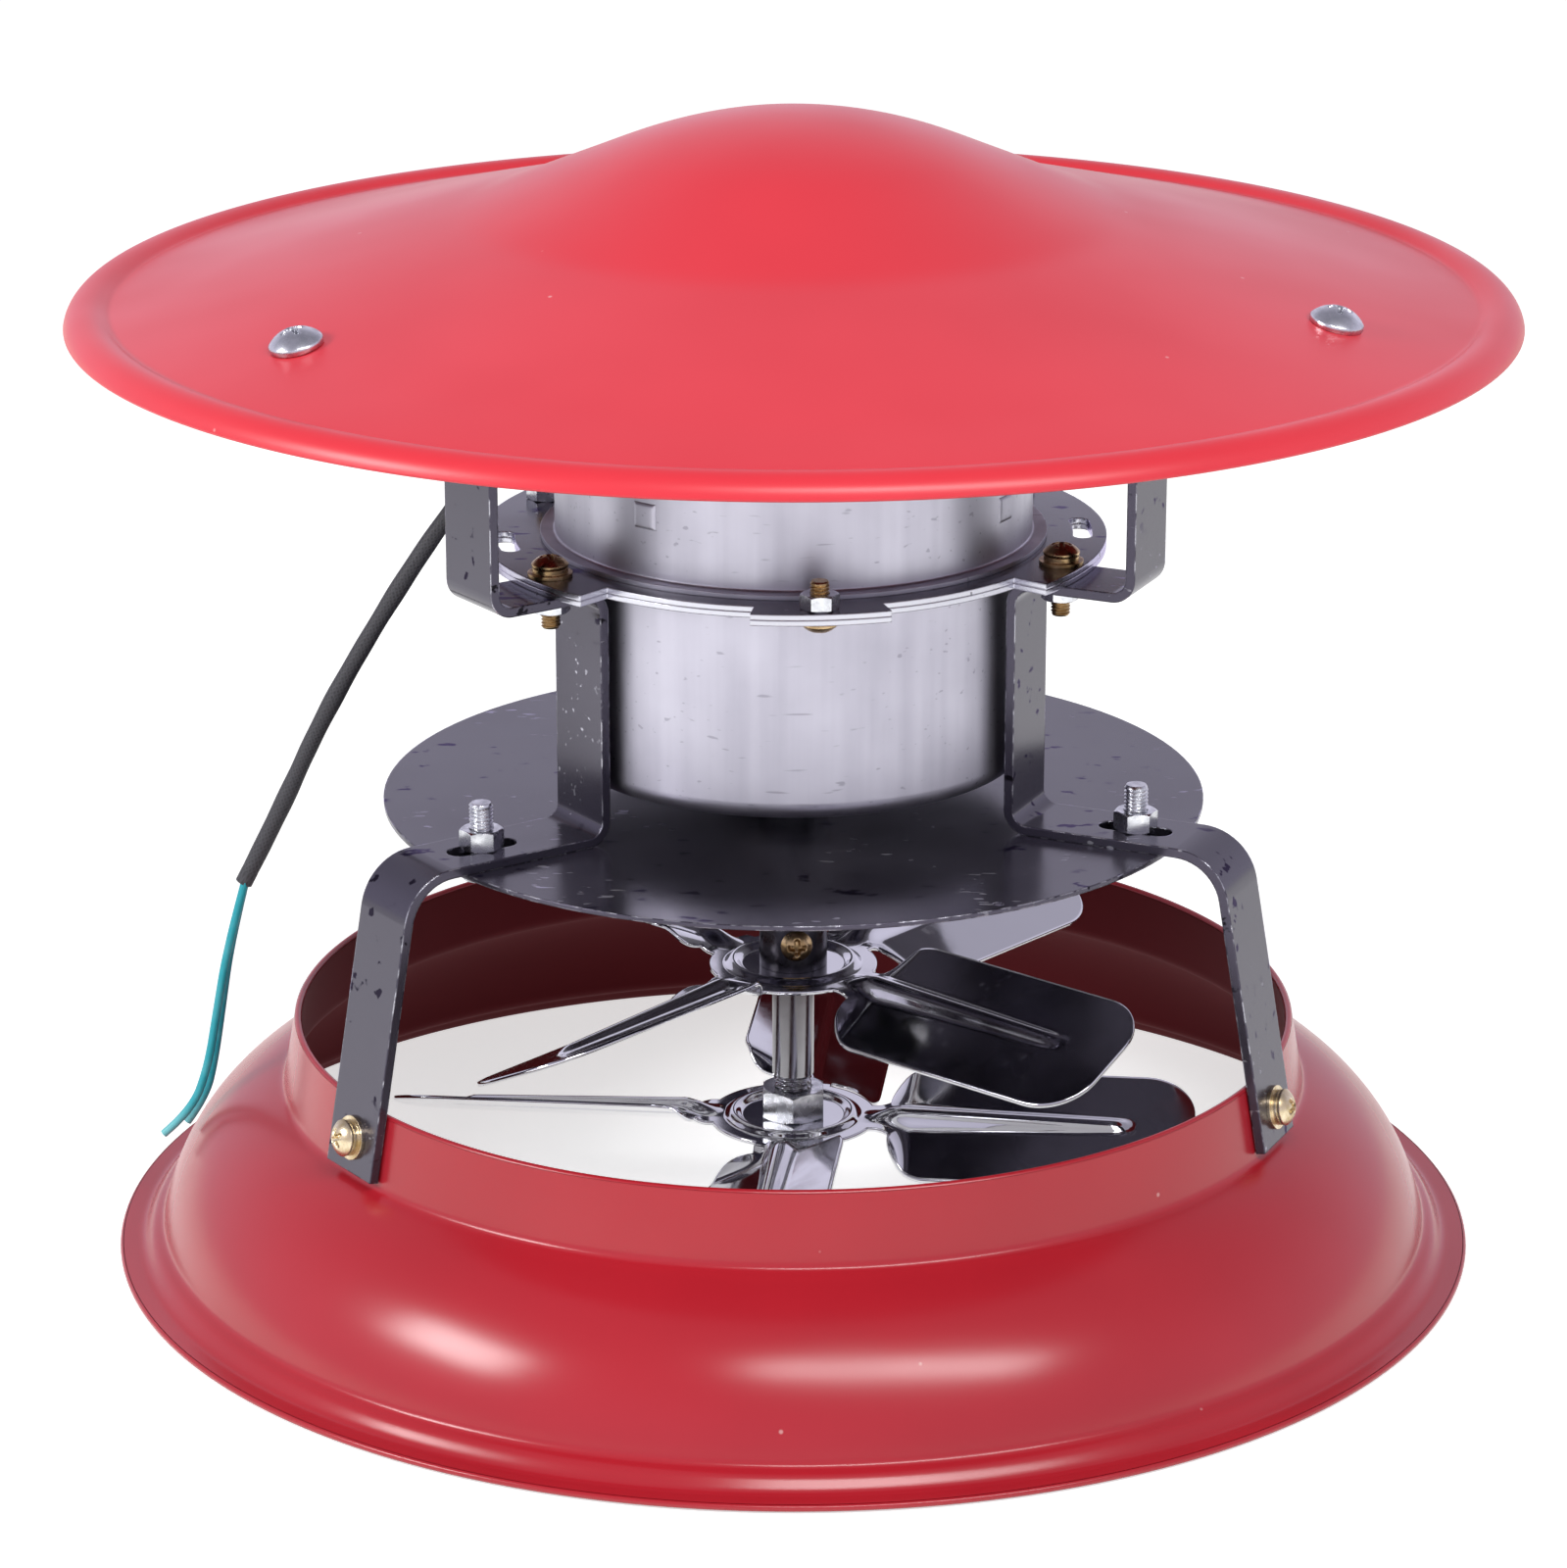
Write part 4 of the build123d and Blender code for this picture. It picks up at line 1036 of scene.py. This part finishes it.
@dataclass
class HexBolt:
    """A hexagon-headed bolt, its head below z = 0 and its threaded shank above. Sizes in millimetres."""

    length: float
    flats: float = 8.0
    head_height: float = 3.5
    radius: float = 2.5
    pitch: float = 0.8
    chamfer_slope: float = 30.0
    seat_chamfer: float = 0.6
    side_depths: tuple[float, ...] = (3.1, 2.6, 0.9, 0.4, 0.0)
    tail: float = 0.5
    point: float = 0.45
    columns: int = 60
    rows_per_turn: int = 8

    def grid(self) -> np.ndarray:
        """The whole bolt as rows of rings.

        The head's radius is the smaller of a hexagon's and a chamfer cone's.
        """
        angle = turns(self.columns)
        sector = (angle + math.pi / 6) % (math.pi / 3) - math.pi / 6
        hexagon = self.flats / 2 / np.cos(sector)
        corner = self.flats / math.sqrt(3)
        slope = math.tan(math.radians(self.chamfer_slope))
        depth = np.array([self.head_height, self.head_height, *self.side_depths])[:, None]
        cone = self.flats / 2 + np.minimum(self.head_height - depth, depth + self.seat_chamfer) / slope
        head_r = np.minimum(np.minimum(hexagon, corner), cone)
        head_r[0] = 0.0
        head_z = -depth + 0 * angle
        rows = int(self.length / self.pitch * self.rows_per_turn)
        shank_z = np.linspace(THREAD_START_MM, self.length - self.tail, rows)[:, None] + 0 * angle
        shank_r = thread(self.radius, self.pitch, shank_z, angle, (0.0, self.length))
        end = np.array([(self.radius - self.point, self.length), (0.0, self.length)])
        neck = np.full_like(angle, self.radius)
        radius = np.vstack([head_r, neck, shank_r, end[:, :1] + 0 * angle])
        height = np.vstack([head_z, 0 * angle, shank_z, end[:, 1:] + 0 * angle])
        return ringed(radius, angle, height)


@dataclass
class Fasteners:
    """The screws and bolts that hold cap, straps, plates, shield and base together. Sizes in millimetres."""

    strap_angles: tuple[float, ...] = (-25.0, 95.0, 215.0)
    clamp_angles: tuple[float, ...] = (-85.0, 35.0, 155.0)
    washers: float = 1.8
    ear_seat: Seat = Seat(60.5, 156.0)
    clamp_seat: Seat = Seat(58.5, 153.6, lean=180.0)
    shield_seat: Seat = Seat(78.0, 98.0)
    cap_circle: float = 118.0
    skirt_foot: float = 141.0
    skirt_foot_z: float = 206.0
    skirt_slope: float = 14.2
    collar_radius: float = 107.0
    collar_lean: float = 10.2
    foot_drop: float = 6.5
    foot_z: float = 44.5
    strap_face: float = 2.05
    first_twist: float = 20.0

    def cap_seat(self) -> Seat:
        """The seat on the cap's skirt, which rises from its foot towards the axis."""
        rise = (self.skirt_foot - self.cap_circle) * math.tan(math.radians(self.skirt_slope))
        return Seat(self.cap_circle, self.skirt_foot_z + rise, self.skirt_slope)

    def foot_seat(self) -> Seat:
        """The seat on the strap's outer face, which leans with the collar."""
        lean = math.radians(self.collar_lean)
        face = self.collar_radius + self.foot_drop * math.tan(lean) + self.strap_face / math.cos(lean)
        return Seat(face, self.foot_z, 90.0 - self.collar_lean)

    def group(
        self,
        node: str,
        shape: np.ndarray,
        seat: Seat,
        angles: tuple[float, ...],
        finish: Finish,
        slot: Slot,
        twist: float = 0.0,
    ) -> None:
        """Builds one node's fasteners as a piece.

        Args:
            node: The CAD node that the piece stands for.
            shape: The grid of one fastener.
            seat: Its seat in the strap's plane.
            angles: Its angles about the axis.
            finish: Its finish.
            slot: Its material slot; not used.
            twist: How far each fastener is turned about itself from the last, in degrees.
        """
        grids = []
        for i, angle in enumerate(angles):
            driven = about_axis(shape, self.first_twist + twist * i)
            grids.append(Grid(seat.place(driven, angle)))
        lay(node + "_turned", grids, finish, Body.HOUSING, [node])

    def build(self) -> None:
        """Builds the five groups of screws and bolts, and gives nuts and washers their plating."""
        cap = Screw(length=9.85, head_radius=5.5, head_height=3.8, recess_length=5.0)
        ear = Screw(length=12.8, lift=self.washers)
        clamp = Screw(length=8.2)
        foot = Screw(length=11.2, lift=self.washers)
        bolt = HexBolt(length=12.7)
        yellow, bright = (YELLOW_ZINC, Slot.YELLOW_ZINC), (BRIGHT_ZINC, Slot.BRIGHT_ZINC)
        pale = (PALE_ZINC, Slot.YELLOW_ZINC)
        self.group("cap_screws", cap.grid(), self.cap_seat(), self.strap_angles, *bright, twist=33.0)
        self.group("ear_screws", ear.grid(), self.ear_seat, self.strap_angles, *yellow, twist=25.0)
        self.group("clamp_screws", clamp.grid(), self.clamp_seat, self.clamp_angles, *yellow, twist=40.0)
        self.group("foot_screws", foot.grid(), self.foot_seat(), self.strap_angles, *pale, twist=52.0)
        self.group("shield_bolts", bolt.grid(), self.shield_seat, self.strap_angles, *bright, twist=17.0)
        dress(YELLOW_ZINC, "ear_washers")
        dress(PALE_ZINC, "foot_washers")
        dress(BRIGHT_ZINC, "cap_nuts", "ear_nuts", "clamp_nuts", "shield_nuts", "foot_nuts")


@dataclass
class Rotor:
    """Shaft, fans and what turns with them. Sizes in millimetres."""

    shaft_radius: float = 4.5
    thread_radius: float = 4.0
    thread_pitch: float = 1.25
    end_z: float = 14.0
    thread_top_z: float = 34.0
    top_z: float = 194.5
    chamfer: float = 0.8
    shoulder: float = 0.3
    thread_gap: float = 0.05
    columns: int = 64
    rows_per_turn: int = 9
    set_screw_seat: Seat = Seat(7.25, 65.95, lean=90.0)
    set_screw_angle: float = -85.0

    def shaft(self) -> np.ndarray:
        """The shaft as rows of rings: chamfered end, thread, shoulder and plain shank with chamfered top."""
        angle = turns(self.columns)
        start = np.array([(0.0, self.end_z), (self.thread_radius - self.chamfer, self.end_z)])
        rows = int((self.thread_top_z - self.end_z) / self.thread_pitch * self.rows_per_turn)
        low, high = self.end_z + self.chamfer, self.thread_top_z - self.thread_gap
        thread_z = np.linspace(low, high, rows)[:, None] + 0 * angle
        ends = (self.end_z, self.thread_top_z)
        thread_r = thread(self.thread_radius, self.thread_pitch, thread_z, angle, ends)
        plain = np.array(
            [
                (self.shaft_radius - self.shoulder, self.thread_top_z),
                (self.shaft_radius, self.thread_top_z + self.shoulder),
                (self.shaft_radius, self.top_z - self.chamfer),
                (self.shaft_radius - self.chamfer, self.top_z),
                (0.0, self.top_z),
            ]
        )
        radius = np.vstack([start[:, :1] + 0 * angle, thread_r, plain[:, :1] + 0 * angle])
        height = np.vstack([start[:, 1:] + 0 * angle, thread_z, plain[:, 1:] + 0 * angle])
        return ringed(radius, angle, height)

    def build(self) -> None:
        """Builds shaft, set screw and fans, and gives the rest of the rotor its finishes."""
        lay("motor_shaft_turned", [Grid(self.shaft())], SHAFT_STEEL, Body.ROTOR, ["motor_shaft"])
        screw = Screw(length=2.55, head_radius=3.4)
        grids = [Grid(self.set_screw_seat.place(screw.grid(), self.set_screw_angle))]
        lay("hub_set_screw_turned", grids, YELLOW_ZINC, Body.ROTOR, ["hub_set_screw"])
        FanWheel("upper_fan", height=59.0, turn=49.0).build()
        FanWheel("lower_fan", height=24.0, turn=-6.0).build()
        dress(BRIGHT_ZINC, "lower_fan_nuts")
        dress(BLACKENED_STEEL, "upper_fan_hub")
        dress(LAMINATION, "rotor_core")
        dress(CAST_ALUMINIUM, "rotor_end_rings")
        dress(BEARING_STEEL, "bearing_inner_races", "bearing_balls")


@dataclass
class SupplyLead:
    """The lead: a braided sleeve from the motor and the two wires that come out of it. Sizes in millimetres.

    Each of the puckers is a wave along the sleeve: its depth as a share of the radius, the length over which
    its angle runs on by one radian, and its phase.
    """

    sleeve_radius: float = 2.0
    mouth_radius: float = 1.86
    mouth_depth: float = 3.0
    mean_share: float = 0.95
    puckers: tuple[tuple[float, float, float], ...] = ((0.03, 5.2, 0.0), (0.02, 2.3, 1.0))
    wire_radius: float = 0.9
    end_step: float = 0.01
    spline_steps: int = 24
    sleeve_points: tuple[tuple[float, float, float], ...] = (
        (-53.5, 0.0, 183.5),
        (-69.20, 0.0, 163.91),
        (-84.52, 0.0, 141.14),
        (-99.59, 0.0, 115.19),
        (-109.40, 0.0, 93.59),
        (-117.6, 0.0, 77.6),
    )
    wire_a_points: tuple[tuple[float, float, float], ...] = (
        (-117.1, -0.94, 78.6),
        (-121.4, -1.3, 63.6),
        (-124.2, -1.6, 48.6),
        (-126.6, -1.7, 35.6),
        (-130.4, -1.7, 25.8),
        (-136.6, -1.7, 20.4),
    )
    wire_b_points: tuple[tuple[float, float, float], ...] = (
        (-117.1, 0.94, 78.6),
        (-121.0, 1.3, 63.6),
        (-123.4, 1.7, 48.6),
        (-125.4, 1.9, 36.4),
        (-127.6, 2.0, 27.6),
        (-131.8, 2.0, 21.8),
    )
    columns: int = 32

    def line(self, route: tuple[tuple[float, float, float], ...]) -> np.ndarray:
        """The smooth line of a cord, read from a NURBS spline whose control points are the route.

        Args:
            route: The route's points in millimetres.

        Returns:
            Points along the spline in millimetres.
        """
        curve = bpy.data.curves.new("route", "CURVE")
        curve.dimensions = "3D"
        curve.resolution_u = self.spline_steps
        spline = curve.splines.new("NURBS")
        spline.points.add(len(route) - 1)
        places = np.hstack([np.array(route) * MM, np.ones((len(route), 1))])
        spline.points.foreach_set("co", places.astype(np.float32).ravel())
        spline.order_u = 3
        spline.use_endpoint_u = True
        holder = bpy.data.objects.new("route", curve)
        mesh = bpy.data.meshes.new_from_object(holder)
        flat = np.zeros(len(mesh.vertices) * 3, np.float32)
        mesh.vertices.foreach_get("co", flat)
        bpy.data.objects.remove(holder)
        bpy.data.meshes.remove(mesh)
        bpy.data.curves.remove(curve)
        return flat.reshape(-1, 3).astype(float) / MM

    def tube(self, line: np.ndarray, radius: np.ndarray, middle: np.ndarray) -> Grid:
        """A round tube along a line.

        Each ring is the middle plus the radius times cos a of one normal and sin a of the other.

        Args:
            line: Points that give the tube's direction.
            radius: Radius of each ring.
            middle: Centre of each ring.

        Returns:
            The tube's grid, with a map of shares round it and along it.
        """
        run = np.gradient(line, axis=0)
        run /= np.linalg.norm(run, axis=1, keepdims=True)
        side = np.cross(run, np.cross([0.0, 1.0, 0.0], run))
        side /= np.linalg.norm(side, axis=1, keepdims=True)
        other = np.cross(run, side)
        turn = np.linspace(0.0, 2 * math.pi, self.columns + 1)[None, :, None]
        ring = np.cos(turn) * side[:, None] + np.sin(turn) * other[:, None]
        points = middle[:, None] + radius[:, None, None] * ring
        along = np.linspace(0.0, 1.0, len(line))[:, None] + 0 * turn[..., 0]
        around = turn[..., 0] / (2 * math.pi) + 0 * along
        return Grid(points, wrap_columns=False, uv=np.stack([around, along], -1))

    def sleeve(self, line: np.ndarray) -> Grid:
        """The sleeve with a closed start, soft puckers and an open mouth that the wires come out of."""
        length = np.linalg.norm(np.diff(line, axis=0), axis=1).sum()
        share = np.linspace(0.0, 1.0, len(line))
        pucker = sum(deep * np.sin(share * length / run + phase) for deep, run, phase in self.puckers)
        radius = self.sleeve_radius * (self.mean_share + pucker)
        into = -np.gradient(line, axis=0)[-1]
        into /= np.linalg.norm(into)
        mouth = line[-1] + np.outer([0.0, self.mouth_depth, self.mouth_depth], into)
        before = line[:1] + (line[0] - line[1]) * self.end_step
        directions = np.vstack([before, line, line[-1:] + np.outer([1, 2, 3], -into)])
        middles = np.vstack([line[:1], line, mouth])
        radii = np.concatenate([[0.0], radius, [self.mouth_radius, self.mouth_radius, 0.0]])
        grid = self.tube(directions, radii, middles)
        uv = grid.uv * np.array([2 * math.pi * self.sleeve_radius, length])
        return Grid(grid.points, wrap_columns=False, uv=uv)

    def wire(self, line: np.ndarray) -> Grid:
        """A wire with both ends closed square."""
        before = line[:1] + (line[0] - line[1]) * self.end_step
        after = line[-1:] + (line[-1] - line[-2]) * self.end_step
        directions = np.vstack([before, line, after])
        middles = np.vstack([line[:1], line, line[-1:]])
        radii = np.concatenate([[0.0], np.full(len(line), self.wire_radius), [0.0]])
        return self.tube(directions, radii, middles)

    def build(self) -> None:
        """Builds sleeve and wires as pieces on the housing."""
        line = self.line(self.sleeve_points)
        tube = [self.sleeve(line)]
        sleeve = lay("lead_sleeve_tube", tube, SLEEVE_CLOTH, Body.HOUSING, ["lead_sleeve"])
        for letter, route, length in (("a", self.wire_a_points, 0.0625), ("b", self.wire_b_points, 0.0591)):
            line = self.line(route)
            name = "lead_wire_" + letter
            wire = lay(name + "_tube", [self.wire(line)], TEAL_PVC, Body.HOUSING, [name])


@dataclass
class Motor:
    """Cans, plates, straps, shield and insides in their CAD shapes, and the upper can's press marks.

    Sizes are in millimetres. The place of a mark is an angle in degrees and a height.
    """

    can_radius: float = 50.0
    mark_places: tuple[tuple[float, float], ...] = ((-127.0, 170.0), (-30.0, 167.5), (90.0, 168.5))
    mark_half: float = 2.7
    mark_slope: float = 0.5
    mark_height: float = 0.35
    mark_root: float = 0.3
    mark_round: float = 0.2
    mark_brink: float = 0.9
    mark_columns: int = 64

    def press_mark(self, azimuth: float, height: float) -> np.ndarray:
        """One square mark that the press leaves on the upper can.

        The rows run out from the middle over a flat top, down a slope at the rim and back under the can's
        skin. Each ring is a circle stretched to a square, as its cosine and sine are divided by the larger of
        the two, and the distance round the can is the angle times the can's radius.

        Args:
            azimuth: The mark's angle about the axis, in degrees.
            height: The height of its middle.

        Returns:
            The mark's grid of points.
        """
        inner = self.mark_half - self.mark_slope
        half = self.mark_half
        reach = np.array([0.0, inner / 2, inner - self.mark_round, inner, half, half, inner, 0.0])[:, None]
        lift = np.array([1.0, 1.0, 1.0, self.mark_brink, 0.0, -1.0, -1.0, -1.0])[:, None]
        turn = turns(self.mark_columns)
        square = np.maximum(np.abs(np.cos(turn)), np.abs(np.sin(turn)))
        angle = math.radians(azimuth) + reach * np.cos(turn) / square / self.can_radius
        radius = self.can_radius + np.where(lift > 0, self.mark_height, self.mark_root) * lift
        z = height + reach * np.sin(turn) / square
        return ringed(radius, angle, z)

    def build(self) -> None:
        """Adds the press marks and gives each carried-over CAD node its finish."""
        marks = [Grid(self.press_mark(*place)) for place in self.mark_places]
        lay("upper_can_press_marks", marks, ZINC_SHEET, Body.HOUSING, [], sharp_angle=25.0)
        dress(BLACK_PAINT, "strap_right", "strap_rear", "strap_left", "heat_shield")
        dress(PLATE_PAINT, "mount_plate", "clamp_plate")
        dress(ZINC_SHEET, "lower_can", "upper_can", "bearing_holders")
        dress(LAMINATION, "stator_core")
        dress(COPPER, "stator_windings")
        dress(BEARING_STEEL, "bearing_outer_races")
        dress(BLACK_RUBBER, "lead_grommet")


@dataclass
class Studio:
    """Camera, pale floor and soft light. Lengths in metres."""

    eye: tuple[float, float, float] = (-0.0021, -1.0905, 0.4617)
    pitch: float = 18.36
    lens: float = 124.0
    floor_half: float = 6.0
    floor_drop: float = 0.0004
    sky: float = 0.38
    pale: str = "#EEEAFF"
    overhead: float = 0.42
    fade: tuple[float, float] = (0.15, 0.95)
    floor_white: float = 0.65
    paper: float = 0.9
    sensor: float = 36.0
    aim: tuple[float, float, float] = (0.0, -0.1, 0.05)

    def camera(self) -> None:
        """Sets the camera at the photograph's angle."""
        data = bpy.data.cameras.new("photo_camera")
        data.lens = self.lens
        data.sensor_width = self.sensor
        camera = bpy.data.objects.new("photo_camera", data)
        camera.location = self.eye
        camera.rotation_euler = (math.radians(90.0 - self.pitch), 0.0, 0.0)
        bpy.context.scene.collection.objects.link(camera)
        bpy.context.scene.camera = camera

    def seen(self, tree: bpy.types.NodeTree) -> bpy.types.NodeSocket:
        """One for a ray from the camera, off a gloss or through glass, and nought for a ray that lights."""
        path = add(tree, "LightPath").node.outputs
        first = {0: path["Is Camera Ray"], 1: path["Is Glossy Ray"]}
        either = add(tree, "Math", first, operation="MAXIMUM")
        return add(tree, "Math", {0: either, 1: path["Is Transmission Ray"]}, operation="MAXIMUM")

    def sky_light(self) -> None:
        """A pale surround that lights the object softly.

        The camera sees it as white, and a gloss shows it as a pale lavender that is dimmer overhead.
        """
        world = bpy.data.worlds.new("studio_white")
        bpy.context.scene.world = world
        world.use_nodes = True
        tree = world.node_tree
        tree.nodes.clear()
        height = add(tree, "SeparateXYZ", {0: add(tree, "TexCoord", output="Generated")}, output="Z")
        fade = {VALUE: height, FROM: self.fade[0], UPTO: self.fade[1], LOW: 1.0, HIGH: self.overhead}
        fading = add(tree, "MapRange", fade, interpolation_type="SMOOTHSTEP")
        plain = (1.0, 1.0, 1.0, 1.0)
        light = add(tree, "Background", {"Color": plain, "Strength": self.sky})
        gloss = add(tree, "Background", {"Color": linear(self.pale), "Strength": fading})
        white = add(tree, "Background", {"Color": plain})
        shone = add(tree, "MixShader", {0: self.seen(tree), 1: light, 2: gloss})
        camera = add(tree, "LightPath", output="Is Camera Ray")
        both = add(tree, "MixShader", {0: camera, 1: shone, 2: white})
        add(tree, "OutputWorld", {"Surface": both})

    def floor(self) -> None:
        """A pale floor that keeps the object's shadow and otherwise shows as white."""
        h = self.floor_half
        mesh = bpy.data.meshes.new("studio_floor")
        z = -self.floor_drop
        mesh.from_pydata([(-h, -h, z), (h, -h, z), (h, h, z), (-h, h, z)], [], [(0, 1, 2, 3)])
        material = bpy.data.materials.new("studio_paper_white")
        material.use_nodes = True
        tree = material.node_tree
        tree.nodes.clear()
        paper = add(tree, "BsdfDiffuse", {"Color": (self.paper, self.paper, self.paper, 1.0)})
        lift = add(tree, "Math", {0: self.seen(tree), 1: self.floor_white}, operation="MULTIPLY")
        glow = add(tree, "Emission", {"Color": (1.0, 1.0, 1.0, 1.0), "Strength": lift})
        both = add(tree, "AddShader", {0: paper, 1: glow})
        add(tree, "OutputMaterial", {"Surface": both})
        mesh.materials.append(material)
        floor = bpy.data.objects.new("studio_floor", mesh)
        bpy.context.scene.collection.objects.link(floor)

    def softbox(
        self,
        name: str,
        place: tuple[float, float, float],
        size: tuple[float, float],
        power: float,
        roll: float = 0.0,
    ) -> None:
        """Adds a softbox that faces the object's middle.

        Args:
            name: Its name.
            place: Where it stands.
            size: Its width and height.
            power: Its power in watts.
            roll: How far it is turned about its own axis, in degrees.
        """
        data = bpy.data.lights.new(name, "AREA")
        data.shape = "RECTANGLE"
        data.size, data.size_y = size
        data.energy = power
        lamp = bpy.data.objects.new(name, data)
        lamp.location = place
        aim = Vector(self.aim) - Vector(place)
        turned = aim.to_track_quat("-Z", "Y") @ Quaternion((0.0, 0.0, 1.0), math.radians(roll))
        lamp.rotation_euler = turned.to_euler()
        bpy.context.scene.collection.objects.link(lamp)

    def build(self) -> None:
        """Sets up camera, surround, floor, a softbox at the left and a longer one at the right front."""
        self.camera()
        self.sky_light()
        self.floor()
        self.softbox("left_softbox", (-0.93, -0.44, 0.62), (0.44, 0.26), 6.4)
        self.softbox("right_softbox", (0.31, -0.77, 0.86), (0.90, 0.20), 7.5, -20.0)
        view = bpy.context.scene.view_settings
        view.view_transform = "Standard"


def main() -> None:
    """Builds the studio, the lead and every sub-assembly in order."""
    logging.basicConfig(level=logging.INFO, format="%(name)s %(message)s")
    Studio().build()
    SupplyLead().build()
    RainCap().build()
    BaseCowl().build()
    Motor().build()
    Fasteners().build()
    Rotor().build()
    bpy.context.view_layer.update()


if __name__ == "__main__":
    main()
